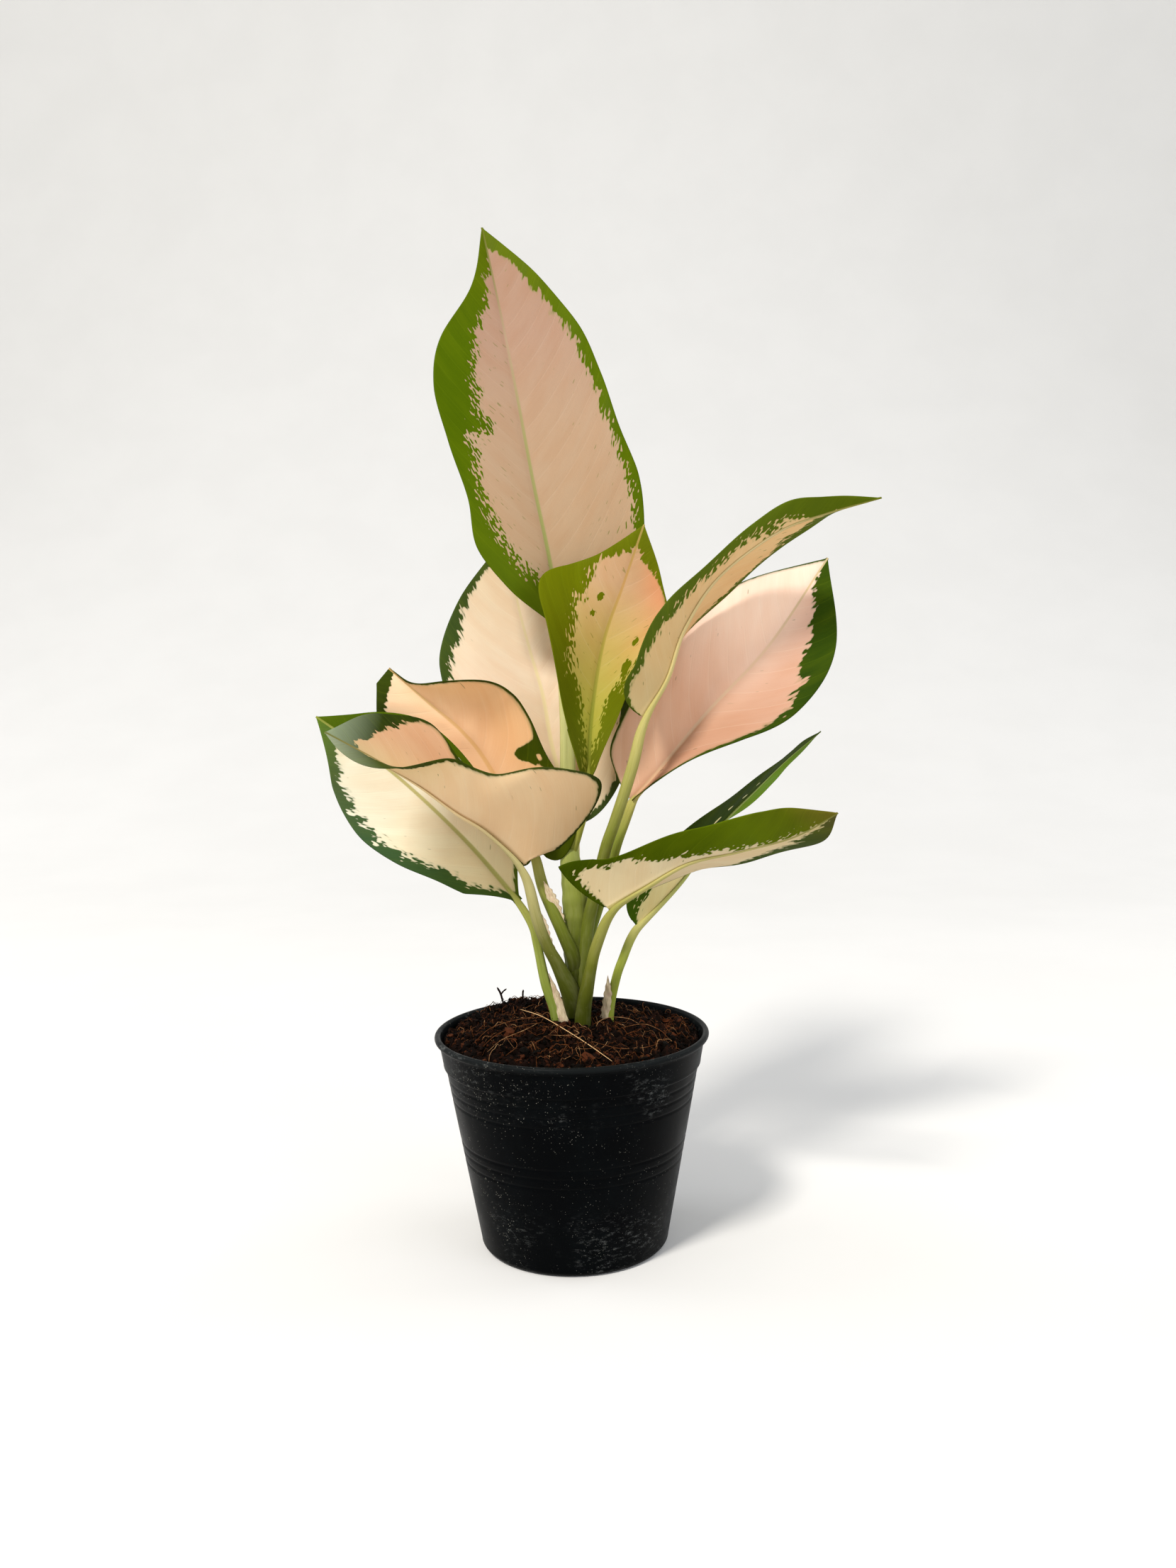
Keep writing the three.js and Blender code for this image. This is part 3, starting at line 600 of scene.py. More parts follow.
def stalk(leaf, number):
    """The leaf stalk, carried on under the blade as its tapering midrib. The path is the stalk's curve and then the
    rib's, sunk under the blade so that only its underside stands out. The ring is round, with a shallow channel on the
    side that faces up into the leaf, and becomes a flat oval under the blade."""
    below = np.linspace(0, 1, STALK_STEPS)
    low = through(leaf.stalk, below)[:-SHARED_RINGS]
    t = np.linspace(0.02, 0.96, RIB_STEPS)
    rib, _, normal, _ = leaf.along(t)
    ridge = leaf.thick[-1] * RIDGE_SHARE * (1 - t) ** 1.4 + RIDGE_LEAST
    high = rib - normal * (GUTTER * (1 - 0.6 * t) + RIDGE_FLAT * ridge * 0.9)[:, None]
    path = np.concatenate([low, high])
    radius = np.concatenate([through(leaf.thick, below)[:-SHARED_RINGS], ridge])
    facing = through(unit(np.array(leaf.face, float)), np.zeros(1))
    about = np.concatenate([np.repeat(facing, len(low), axis=0), normal])
    place = np.arange(len(path))
    near = bell(place - len(low), BLEND_RINGS)[:, None]
    rows = np.concatenate([path, radius[:, None], about], axis=1)
    blurred = rows.copy()
    for _ in range(BLEND_ROUNDS):
        blurred[1:-1] = (blurred[:-2] + 2 * blurred[1:-1] + blurred[2:]) / 4
    rows = rows * (1 - near) + blurred * near
    path, radius, about = rows[:, :3], rows[:, 3], rows[:, 4:]
    angle = np.arange(STALK_SIDES) / STALK_SIDES * FULL_TURN
    turned = (angle + math.pi) % FULL_TURN - math.pi
    on_blade = ramp(place, len(low) - 6, len(low) + 8)[:, None]
    flat = 1 - (1 - RIDGE_FLAT) * on_blade
    oval = 1 / np.sqrt((np.cos(angle)[None, :] / flat) ** 2 + np.sin(angle)[None, :] ** 2)
    channel = 1 - CHANNEL_DEPTH * bell(turned, CHANNEL_ANGLE)[None, :] * (1 - on_blade)
    points, faces = tube(path, radius, STALK_SIDES, about, oval * channel)
    reach = path_length(path)
    share = np.concatenate([np.linspace(0, 0.5, len(low)), np.linspace(0.5, 1, RIB_STEPS)])
    share = np.append(np.repeat(share, STALK_SIDES), [0.0, 1.0])
    long = np.append(np.repeat(reach, STALK_SIDES), [0.0, reach[-1]])
    aside = np.append(np.tile(angle, len(path)) * MM_ROUND, [0.0, 0.0])
    finish_piece(
        "stalk_" + leaf.name, points, faces, STALK, "stem", "leaf_" + leaf.name,
        flow=np.stack([aside, long, np.full(len(long), LEAF_STEP * number)], axis=1),
        tone=with_alpha(colours(leaf.stem, share)),
    )


# a stem row that starts near black at the soil is partly the stalk's own colour and partly painted shade under the
# leaves
LEAVES = [
    Leaf(
        "crown",
        rib=[[-2, 17, 243], [-6, 18, 270], [-12, 21, 301], [-18, 27, 336], [-24, 34, 369], [-32, 44, 409]],
        face=[[0.1, -1, 0.1], [0.1, -1, 0.15], [0.1, -1, 0.3]],
        width=[[5, 20, 31, 30, 33, 35, 28, 10, 0], [36, 34, 40, 42, 38, 35, 30, 18, 0]],
        lift=[[35, 30, 25, 20, 25], [5, 5, 5, 8, 15]],
        curl=[[-10, -10, -10, 0, 0], [5, 5, 5, 0, 0]],
        lobe=[2, 6],
        stalk=[[0, 9, 154.6], [0, 12, 182], [0, 15, 210], [-2, 17, 245]],
        thick=[3.4, 3.2, 3, 2.4],
        margin=[[12, 18, 15, 11, 7.5, 12, 18, 17.5, 12.5, 5, 3], [6, 7, 5.5, 5, 5, 4.4, 4.4, 5, 5.5, 4.5, 4]],
        patches=[(0.53, -0.42, 4, 8, 8), (1, 0, 9, 12, 7), (0.17, -0.55, 6, 3, -4), (0.5, -0.72, 2.5, 3, -5)],
        # the pale row is partly the blade's own tan and partly painted shade, darker than the other leaves because
        # this leaf is lit less
        pale="#b4a07c #ba9e7e #b89c80 #b2927c #aa8872",
        deep=["#5c6e10 #566a06 #4c6200 #506602 #5c6a06", "#586a0a #546802 #526604 #566a04 #5e6c0c"],
        midrib="#8f9650 #969a58 #a09a64 #b2987c #6a7020",
        stem="#a0a858 #b4b874 #c0c084 #b4b070 #9a9a50 #a09860 #9a8c58",
        speckle=[
            [1.3, 1.3, 1.4, 1.2, 1, 0.9, 0.8, 0.6, 0.4, 0.2, 0.1],
            [0.7, 0.7, 0.7, 0.6, 0.5, 0.4, 0.3, 0.2, 0.1, 0.1, 0.1],
        ],
        veins=0.06,
    ),
    Leaf(
        "center",
        rib=[[8, 4, 182], [10, 6, 208], [15, 6, 236], [23, 3, 258], [31, -4, 280]],
        face=[[-0.1, -1, 0.1], [-0.05, -1, 0.1], [0, -1, 0.2]],
        width=[[6, 15, 21, 27, 31, 13, 0], [5, 15, 20, 22, 24, 14, 0]],
        round=0.05,
        lift=[[35, 25, 20, 0, -10], [35, 25, 15, 10, 5]],
        curl=[[70, 60, 40, 0, -20], [60, 50, 40, 20, 10]],
        lobe=[0, 0],
        stalk=[[1, 8, 153], [3, 6, 160], [6, 4.5, 171], [8, 4, 184]],
        thick=[2, 2.2, 2.2, 2],
        margin=[[7, 10, 13, 13, 11, 13, 17, 15, 5, 8, 6], [7, 11, 10, 7, 4, 2, 1.5, 1.2, 1.5, 8, 6]],
        patches=[
            (0.3, 0.5, 9, 6, 9), (0.3, -0.55, 8, 4, 5), (0.67, -0.22, 2.2, 1.2, 20), (0.6, -0.24, 1.6, 1, 16),
            (0.54, 0.6, 3, 1.5, 14), (0.43, 0.6, 3, 2, 16),
        ],
        pale=["#b4b446 #bcb84e #c8b066 #cca880 #c8a078", "#b4b446 #c0bc4c #d0b068 #dca074 #d09468"],
        deep="#7a8020 #6f7810 #666c04 #666e02 #6c7410",
        midrib="#8c9030 #949838 #b0a048 #c89c60 #b09a50",
        stem="#8c9038 #9a9c44 #a4a448 #949838 #a09a40 #c09a58 #a89a50",
        ripple=0.3,
        speckle=[[0.7, 0.7, 0.8, 0.7, 0.4, 0.2], [0.7, 0.7, 0.8, 0.6, 0.3, 0.2]],
        veins=0.1,
        turning=(0.1, 0.9),
    ),
    Leaf(
        "back",
        rib=[[2, 20, 163], [-6, 24, 193], [-10, 28, 216], [-15, 33, 234], [-20, 39, 254], [-25, 48, 283]],
        face=[[0.1, -1, 0.3], [0.1, -1, 0.3], [0.1, -1, 0.4]],
        width=[[20, 31, 38, 40, 37, 24, 0], [19, 30, 34, 34, 30, 20, 0]],
        lift=[[15, 12, 10, 10, 10]] * 2,
        curl=[[5, 5, 0]] * 2,
        lobe=[4, 4],
        stalk=[[3, 7, 112], [3, 13, 126], [2, 17, 140], [2, 19, 153], [2, 20, 165]],
        thick=[2.6, 2.4, 2.2, 2.2, 2],
        margin=[[3, 3, 3, 4, 4, 4, 5.5, 7, 4.5, 3, 3], [3, 3, 3, 3, 4, 4, 4, 4, 4, 4, 4]],
        patches=[(0.98, 0, 8, 10, 6)],
        pale="#e8d8bc #ecdcc2 #efe0ca #ecdcc2 #e6d4b4",
        deep="#46562a #42542a #3c5022 #405224 #4c5a24",
        midrib="#e8dca8 #ece0b0 #efe2b6 #e8dab0 #d8cc98",
        stem="#8c9048 #b0aa60 #cfc690 #e8dab0 #ecdfb4 #ecdfb4 #d8cc98",
        speckle=0.2,
        veins=0.3,
        quilt=0.22,
    ),
    Leaf(
        "right_arching",
        rib=[
            [29, -10, 207], [38, -10, 221], [45, -10, 240], [58, -12, 259], [80, -15, 275], [98, -20, 281],
            [116, -28, 285],
        ],
        face=[[-0.67, 0.44, 0.45], [-0.6, 0.44, 0.6], [-0.18, 0.44, 0.87]],
        width=[[8, 15, 20, 23, 21, 12, 0], [17, 16, 17, 14, 9, 9, 10, 6, 0]],
        lift=[[40, 25, 5, 15, 35], [30, 15, 10, 20, 20]],
        curl=[[5, 5, 5], [10, 15, 10]],
        lobe=[0, 2],
        stalk=[
            [4, 1, 88], [4.5, 0.5, 97], [5, 0.5, 110], [7, 1, 125.3], [10, 0, 138], [14.5, -2.8, 156], [18, -4, 166],
            [23, -7, 181], [27, -9, 195], [29, -10, 209],
        ],
        thick=[3.6, 3.3, 3.0, 2.7, 2.5, 2.4, 2.3, 2.3, 2.2, 2.0],
        margin=[[3.5, 3.5, 4, 4.5, 4, 3, 3.5, 6.5, 10.5, 10, 6], [2, 2.5, 3, 5, 6, 5.5, 5, 7, 10, 8, 6]],
        patches=[(0.66, -0.4, 4, 6, 6)],
        pale="#d4be8c #d8bc88 #e4c490 #e8cc98 #ccb474",
        deep=["#626c1c #5c6a18 #566414 #5a6c10 #586c0e", "#4c5a14 #52621a #5a6a1c #5c6e14 #5c6c10"],
        midrib="#c0aa74 #c8b07a #d0b480 #b8a868 #80842c",
        stem="#3c440e #5c6420 #787e34 #b4aa68 #c8b482 #ccb688 #80842c",
        speckle=0.35,
        veins=0.12,
    ),
    Leaf(
        "right_broad",
        rib=[[25, 5, 174], [35, 7, 184], [56, 11, 208], [81, 14, 234], [106, 21, 269]],
        face=[[0, -1, 0.3], [0.1, -1, 0.3], [0.2, -1, 0.4]],
        width=[[12, 20, 25, 30, 32, 24, 0], [4, 6, 11, 21, 27, 22, 0]],
        lift=[[12, 10, 8, 8, 10], [70, 55, 25, 10, 5]],
        curl=[[5, 5, 0], [10, 10, 0]],
        lobe=[0, 0],
        stalk=[[6, 4, 117], [10, 6, 128], [15, 6, 143], [19, 5, 157], [22, 5, 165], [26, 5, 175]],
        thick=[2.4, 2.3, 2.2, 2.2, 1.9],
        margin=[[1, 1, 1, 1, 1, 1, 1, 1, 0.7, 0.6, 1], [1, 1.5, 2, 1.2, 1.5, 1.8, 2.5, 6.5, 11, 9, 6]],
        patches=[(0.765, 0.62, 4, 3.5, 4), (0.74, 0.78, 3, 2, -4)],
        # both pale rows carry painted light and shade: the right row is darker all along as in shade, the left one
        # darker at mid-length and near white towards the tip where light falls
        pale=["#f0c8a8 #e4bc9c #eac2a6 #ffe8d6 #ffead8", "#d8ac8a #c89a7e #c89c80 #d4ac94 #f4d0bc"],
        deep="#4c5a14 #3e5010 #33480a #2f4608 #3a500c",
        midrib="#d8b48c #dcb894 #e4c4a4 #ecd0b0 #d0bc8c",
        stem="#56601c #76822e #8a943e #a8a058 #d8b890 #dcc4a0 #b0a870",
        speckle=0.12,
        veins=0.18,
        turning=(-0.3, 0.5),
        quilt=0.1,
    ),
    Leaf(
        "left_upper",
        rib=[[-14, 7, 155], [-31, 7, 188], [-41, 4, 202], [-54, 1, 214], [-68, -3, 227]],
        face=[[0.1, -1, 0], [0.15, -1, 0.1], [0.15, -1, 0.25]],
        width=[[10, 18, 24, 27, 27, 26, 24, 19, 8], [10, 23, 22, 24, 25, 22, 15, 3, 0]],
        lift=[[-5, -10, -12, -5, 10], [15, 10, 15, 50, 70]],
        curl=[[-5, -5, 0], [5, 5, 0]],
        lobe=[16, 24],
        stalk=[[2, 2, 104], [1, -1, 113], [-3, -2, 123], [-7, 0, 132], [-11, 3, 142], [-14, 7, 156]],
        thick=[3.2, 3, 2.5, 2.4, 2.3, 1.9],
        margin=[[1.5, 1.5, 1.5, 1.5, 1.5, 1.5, 2, 2, 3, 5, 8], [6, 5, 3, 1.2, 1, 1, 1, 1.2, 1.5, 1.5, 6]],
        patches=[(0.26, 0.66, 3, 7, 11), (0.25, 0.86, 1.5, 1.6, -7), (1, 0, 5, 20, 6)],
        # the left row of pale is painted lighter than the right, painted light on that half of the blade
        pale=["#f8d0a0 #fdd6a8 #ffdab0 #ffe2ba #ffe4c0", "#eec490 #f0c590 #f0c590 #f2cc98 #f4d4a8"],
        deep="#465208 #3e4a06 #363f06 #333f0a #3c4a12",
        midrib="#f0c080 #eec080 #f0c484 #eccb90 #d8b878",
        stem="#363c0c #525a18 #6e762c #a8a458 #e8bc7c #e8bc7c #c8a868",
        speckle=0.1,
        veins=0.1,
    ),
    Leaf(
        "left_front",
        rib=[[-17, -8, 151], [-30.5, -16, 165], [-41, -24, 173], [-54, -32, 184], [-68, -42, 194], [-83, -52, 204]],
        face=[[0.5, 0.3, 0.7], [0.4, 0.1, 0.9], [0.35, 0, 0.9]],
        width=[[43, 43, 33, 22, 18, 18, 14, 9, 0], [20, 22, 20, 18, 19, 26, 23, 16, 0]],
        lift=[[75, 60, 55, 5, -60], [80, 76, 60, 50, 35]],
        curl=[[10, 10, 20, 10, 0], [10, 10, 0]],
        lobe=[14, 6],
        stalk=[[1, 0, 90], [0, -3, 99], [-5, -5, 111], [-9, -6, 119], [-13, -7, 131], [-17, -8, 152]],
        thick=[4.2, 4, 2.8, 2.4, 2.3, 1.9],
        margin=[[1.5, 1.5, 1.3, 1.2, 1.1, 1.3, 2, 4, 9, 12, 12], [3, 3, 3, 3, 2.5, 1.5, 0.6, 3, 9, 17, 16]],
        patches=[(0.85, 0.2, 5, 2, -5), (0.76, -0.7, 7, 8, 4)],
        pale=["#e4c69a #eed2a6 #f2d8ac #e2ca9a #c0b280", "#d0a880 #d4aa80 #d8ac84 #d8ac84 #cc9c78"],
        # each deep row ends in a grey-green at the tip, a painted sheen
        deep=["#343e14 #3c4618 #444e1c #3c480e #3c4818 #a0a88c", "#3e4a0c #39440a #2f3a06 #2f3c0a #303c10 #98a486"],
        midrib="#d8b888 #dcbc8c #d8b484 #a89058 #6c7034",
        stem="#262c08 #464c14 #64652a #b0a672 #e0c494 #dcc090 #8c8448",
        speckle=0.2,
        veins=0.1,
        round=0.11,
        pointed=0,
        bay=0.5,
    ),
    Leaf(
        "left_lower",
        rib=[[-20, 0.5, 135], [-39, 0, 158], [-61, -4, 181], [-79, -9, 197], [-94, -15, 209]],
        face=[[0.1, -1, 0.2], [0.1, -1, 0.2], [0.1, -1, 0.3]],
        width=[[5, 14, 20, 26, 28, 25, 19, 9, 0], [6, 13, 18, 22, 24, 23, 17, 8, 0]],
        lift=[[15, 12, 10, 10, 10]] * 2,
        curl=[[5, 5, 0]] * 2,
        lobe=[0, 0],
        stalk=[[-6, -2, 70], [-6, -2, 89], [-10, -2, 103], [-13, -1, 118], [-15, -1, 126], [-20.5, 0, 136]],
        thick=[2.2, 2.2, 2, 1.7, 1.6, 1.5],
        margin=[[2, 4, 5, 5, 5, 6, 5, 5.5, 6, 7, 5], [2, 2, 2, 2, 3, 4, 5, 8, 8, 8, 6]],
        patches=[(0.46, -0.93, 3, 2, -4), (0.62, -0.93, 3, 2, -3)],
        pale="#dccb98 #ece0b8 #f6f2de #f9f8e7 #e8e0ac",
        # the left row's blue-grey and lighter greens are partly the margin's own colour and partly a painted sheen
        deep=["#3c541c #405a2c #44603c #5a6e44 #648028", "#4c5c14 #4c600c #4c6008 #50680a #587014"],
        midrib="#b0ac5c #b8b468 #c4bc78 #bcb870 #98a040",
        stem="#6a7630 #7a8638 #8a9242 #a4a454 #b4b060 #c0b870 #8c9438",
        speckle=0.22,
        veins=0.1,
        pointed=0.6,
    ),
    Leaf(
        "right_front",
        rib=[[15, -14, 134], [28, -16, 142], [45, -20, 152], [64, -26, 157], [83, -34, 163], [97, -42, 172]],
        face=[[-0.35, 0.77, 0.64], [-0.1, 0.53, 0.85], [-0.1, 0.53, 0.85]],
        width=[[6, 15, 22, 20, 18, 14, 0], [24, 24, 18, 16, 17, 19, 19, 14, 0]],
        round=0.1,
        lift=[[38, 20, 8, 5, -10], [40, 25, 8, 8, 10]],
        curl=[[5, 5, 0], [5, 15, 15]],
        lobe=[0, 22],
        stalk=[[4.5, -4, 70], [4.5, -4, 90], [6, -6, 100], [8, -8, 110], [10, -9, 118], [16, -14, 135]],
        thick=[3.2, 3.2, 2.8, 2.3, 2.2, 2],
        margin=[[1, 1, 1, 1, 1, 1.5, 4, 8, 11, 8, 5], [0.8, 5.5, 6, 5.5, 12, 14, 16.5, 19, 18, 13, 8]],
        patches=[(0.33, 0.6, 3, 3, 4), (0.25, 0.75, 4, 2, -3), (0.66, 0.42, 2.5, 1.1, -4)],
        pale="#d8c69c #e0d0a8 #e8dab8 #e0d0a8 #c0b478",
        deep=[
            "#4c5c20 #4c5c20 #4c5c22 #485820 #445620 #485420 #5c5626",
            "#344400 #3c4c00 #4c5c02 #586a04 #627408 #606c0c #746a22",
        ],
        midrib="#b4a864 #b8ac68 #bcb070 #a49c58 #7c7c38",
        stem="#282e06 #464c12 #626620 #94924a #b8ac6c #b8ac70 #7c7c38",
        speckle=0.3,
        veins=0.12,
        pointed=0.9,
    ),
    Leaf(
        "right_low",
        rib=[[27, 8, 123], [45, 12, 141], [60, 17, 161], [76, 22, 176], [91, 27, 189], [105, 33, 199]],
        face=[[-0.6, 0.8, 0.3], [-0.6, 0.45, 0.65], [-0.6, 0.4, 0.7]],
        width=[[6, 10, 12, 17, 22, 19, 0], [18, 22, 22, 18, 13, 7, 0]],
        lift=[[80, 50, 10, 5, 5], [5, 0, -8, -8, -5]],
        curl=[[5, 5, 0]] * 2,
        lobe=[0, 3],
        stalk=[[15, 4, 70], [15, 4, 89], [18, 5, 103], [21, 6, 111], [24, 7, 118], [28, 8, 124.5]],
        thick=[1.9, 1.9, 1.8, 1.8, 1.8, 1.7],
        margin=[[1, 2, 2, 6, 20, 22, 22, 24, 24, 24, 20], [4, 6, 2, 12, 22, 22, 22, 22, 20, 20, 20]],
        patches=[
            (0.1, 0.5, 5, 3.5, 6), (0.15, -0.8, 3, 2, 5), (0.6, 0.3, 2, 4, -3), (0.34, 0.42, 2.2, 0.8, -30),
            (0.41, 0.36, 1.6, 0.7, -30), (0.47, 0.4, 1.3, 0.6, -30), (0.54, 0.34, 1.4, 0.6, -30),
            (0.61, 0.38, 1.1, 0.5, -30),
        ],
        pale="#dccf94 #e0d49c #e0dca8 #dce0b4 #ccd49c",
        # the left row's bright lime is partly the blade's own green and partly painted light shining through it from
        # behind
        deep=["#566a04 #5c7404 #6a8c0c #6a9010 #5c7814", "#405c0a #34480a #2e400a #324410 #364816"],
        midrib="#a8a454 #8c9850 #84904c #84904c #788440",
        stem="#7e8832 #8a9438 #929a40 #b0aa68 #8c9850 #84904c #788440",
        speckle=0.25,
        veins=0.1,
    ),
]

for number, leaf in enumerate(LEAVES):
    blade(leaf, number)
    stalk(leaf, number)

# ---------------------------------------------------------------- the cane and the dry sheaths

CANE = [[1.5, 1.5, 55], [1.5, 1.5, 88], [2.5, 3, 109], [2, 4, 120], [2, 6, 134], [0, 9, 154]]
CANE_THICK = [4.6, 4.6, 5, 5.2, 5, 3.8]
# olive to pale green from the bottom up, near black low down: partly the stem's own colour and partly painted shade
# under the leaves
CANE_TONES_AND_SHADE = "#161a06 #2a300a #485012 #7c843a #a4ac5c"
CANE_SIDES, CANE_STEPS = 32, 90
CANE_GIRTH = 25.0  # mm of pattern round it
SCAR_SPACING = 14  # mm between leaf scars


def cane():
    """The short stem: a tube along its path, with faint rings where old leaves sat."""
    along = np.linspace(0, 1, CANE_STEPS)
    centre = through(CANE, along)
    scars = bell((centre[:, 2] + 4) % SCAR_SPACING - SCAR_SPACING / 2, 0.7)
    rings = 1 + 0.03 * np.sin(centre[:, 2] * 0.9) - 0.03 * scars
    points, faces = tube(centre, through(CANE_THICK, along) * rings, CANE_SIDES, (0, -1, 0))
    height = np.append(np.repeat(centre[:, 2], CANE_SIDES), [centre[0, 2], centre[-1, 2]])
    turn = np.append(np.tile(np.arange(CANE_SIDES) / CANE_SIDES * CANE_GIRTH, CANE_STEPS), [0, 0])
    finish_piece(
        "cane_0", points, faces, STALK, "stem", "cane",
        flow=np.stack([turn, height, np.full(len(height), 14 * LEAF_STEP)], axis=1),
        tone=with_alpha(colours(CANE_TONES_AND_SHADE, (height - 80) / 75)),
    )


cane()

# owner: (rib, half widths left and right)
SCALES = {
    "left_lower": (
        [[-3.4, -3.7, 84], [-4.4, -3.6, 92], [-6, -3.4, 99], [-8.6, -3.2, 107]],
        [[1.8, 1.6, 1.3, 0], [3, 2.4, 1.3, 0]],
    ),
    "right_low": (
        [[13.2, 2.4, 84], [13.9, 2.2, 91], [14.4, 2.2, 98], [14.6, 2.4, 104.5]],
        [[2.4, 2, 1.3, 0], [1.4, 1.6, 1.6, 0]],
    ),
    "left_front": (
        [[-6.4, -5.6, 114], [-9, -6.2, 121], [-10.2, -6.6, 127], [-11.2, -7, 132]],
        [[1, 1, 1, 0], [1.6, 1.8, 1.5, 0]],
    ),
    "left_upper": (
        [[-4, -1.6, 126], [-6.4, -1, 132.5], [-8.4, -0.6, 138], [-10, -0.2, 143]],
        [[1, 1, 1, 0], [2.4, 2.8, 2.2, 0]],
    ),
}


def husk(owner, rib, width, number):
    """A dry sheath margin: a thin strip along its rib that bends back round the stalk at both sides as the square of
    the distance, with a frayed rim."""
    rows, columns, shell = 40, 17, 0.15
    t = np.linspace(0, 1, rows)[:, None] + np.zeros((1, columns))
    u = np.linspace(-1, 1, columns)[None, :] + np.zeros((rows, 1))
    half = np.maximum(np.where(u > 0, through(width[1], t), through(width[0], t)), 0.15)
    half = half * (1 + 0.12 * np.sin(t * 41 + number) * ramp(np.abs(u), 0.5, 1))
    rib_line, tangent = heading(rib, t)
    ahead = np.array([0, -1.0, 0])
    normal = unit(ahead - across(tangent, ahead) * tangent)
    aside = np.cross(tangent, normal)
    bend = 0.28 * half * u**2 + 0.1 * np.sin(t * 23 + 3 * u)
    middle = rib_line + aside * (u * half)[..., None] - normal * (bend - 0.2)[..., None]
    points, faces = plate(middle + normal * shell, middle - normal * shell)
    flow = np.stack([u * half, t * 25, np.full(t.shape, 900.0 + 30 * number)], axis=-1).reshape(-1, 3)
    edge = ((1 - np.abs(u)) * half).ravel()
    finish_piece(
        "husk_" + owner, points, faces, HUSK, "stem", "leaf_" + owner,
        flow=np.concatenate([flow, flow]),
        edge=np.concatenate([edge, edge]),
    )


for number, (owner, (rib, width)) in enumerate(SCALES.items()):
    husk(owner, rib, width, number)

# ---------------------------------------------------------------- the pot

POT_SIDES = 256
BASE_RADIUS, BASE_THICK, WALL = 36.7, 1.6, 1.3
FOOT_ROUND = 2.5  # rounding between the base and the wall
BAND_FOOT, BAND_FOOT_RADIUS = 71.5, 49.8  # where the band under the rim stands out
BAND_HEIGHTS, BAND_RADII = (73, 80.9), (50.75, 52.15)
LIP_RADIUS, LIP_TOP, LIP_ROLL = 54.0, 84.0, 1.25
GROOVES = (35.6, 39.4, 43.0, 59.5, 63.5, 67.5)
GROOVE_DEEP, GROOVE_WIDTH = 0.35, 0.42
DRAIN_RADIUS, DRAIN_CIRCLE, DRAINS, DRAIN_SIDES = 4.0, 25.0, 6, 40
BELOW, ABOVE = -3.0, 5.0  # the drain cutter's ends


def wall_radius(z):
    """The outside of the tapered wall: a straight line from the base to the foot of the band under the rim."""
    return BASE_RADIUS + (BAND_FOOT_RADIUS - BASE_RADIUS) * z / BAND_FOOT


def pot_profile():
    """The pot's section as (radius, height) rows, up the outside, over the rolled lip and down the inside to the
    middle of the floor. The grooves are bells cut into the wall."""
    z = np.linspace(2.6, BAND_FOOT, 150)
    cut = sum(GROOVE_DEEP * bell(z - groove, GROOVE_WIDTH) for groove in GROOVES)
    corner = np.linspace(-math.pi / 2, 0, 8)[:-1]
    foot_radius = wall_radius(2.6) - 2.4 + 2.4 * np.cos(corner)
    foot = np.stack([foot_radius, FOOT_ROUND + FOOT_ROUND * np.sin(corner)], axis=1)
    wall = np.stack([wall_radius(z) - cut, z], axis=1)
    step = [[50.35, 71.6], [50.6, 71.9], [50.72, 72.4]]
    band = np.stack([np.linspace(*BAND_RADII, 12), np.linspace(*BAND_HEIGHTS, 12)], axis=1)
    turn = np.linspace(-math.pi / 2, math.pi, 18)
    roll = LIP_ROLL * np.stack([np.cos(turn), np.sin(turn)], axis=1)
    lip = np.array([LIP_RADIUS - LIP_ROLL, LIP_TOP - LIP_ROLL]) + roll
    inner = [[51.4, 82.3], [51.1, 81.5], [49.4, 72.2], [48.7, 71.2]]
    inner_z = np.linspace(70.5, BASE_THICK + 1.5, 20)
    inside = np.stack([wall_radius(inner_z) - WALL, inner_z], axis=1)
    corner = [[wall_radius(0) - 2.6, BASE_THICK + 0.4], [wall_radius(0) - 3.6, BASE_THICK]]
    floor = [[24, BASE_THICK], [8, BASE_THICK]]
    return np.concatenate([[[8, 0], [20, 0], [30, 0]], foot, wall, step, band, lip, inner, inside, corner, floor])


def drain_cutter():
    """Six upright round rods in one mesh, where the drain holes go: each is two rings with flat ends."""
    ring = np.arange(DRAIN_SIDES) / DRAIN_SIDES * FULL_TURN
    low = np.arange(DRAIN_SIDES)
    after = (low + 1) % DRAIN_SIDES
    quads = np.stack([low, after, after + DRAIN_SIDES, low + DRAIN_SIDES], axis=1)
    points, faces = [], []
    for k in range(DRAINS):
        at = k / DRAINS * FULL_TURN
        rim = DRAIN_CIRCLE * np.array([math.cos(at), math.sin(at)])
        rim = rim + DRAIN_RADIUS * np.stack([np.cos(ring), np.sin(ring)], axis=1)
        points += [np.c_[rim, np.full(DRAIN_SIDES, end)] for end in (BELOW, ABOVE)]
        first = 2 * DRAIN_SIDES * k
        faces += (quads + first).tolist() + [(low[::-1] + first).tolist(), (low + DRAIN_SIDES + first).tolist()]
    mesh = bpy.data.meshes.new("drain_cutter")
    mesh.from_pydata((np.concatenate(points) * MM).tolist(), [], faces)
    cutter = bpy.data.objects.new("drain_cutter", mesh)
    bpy.context.scene.collection.objects.link(cutter)
    return cutter


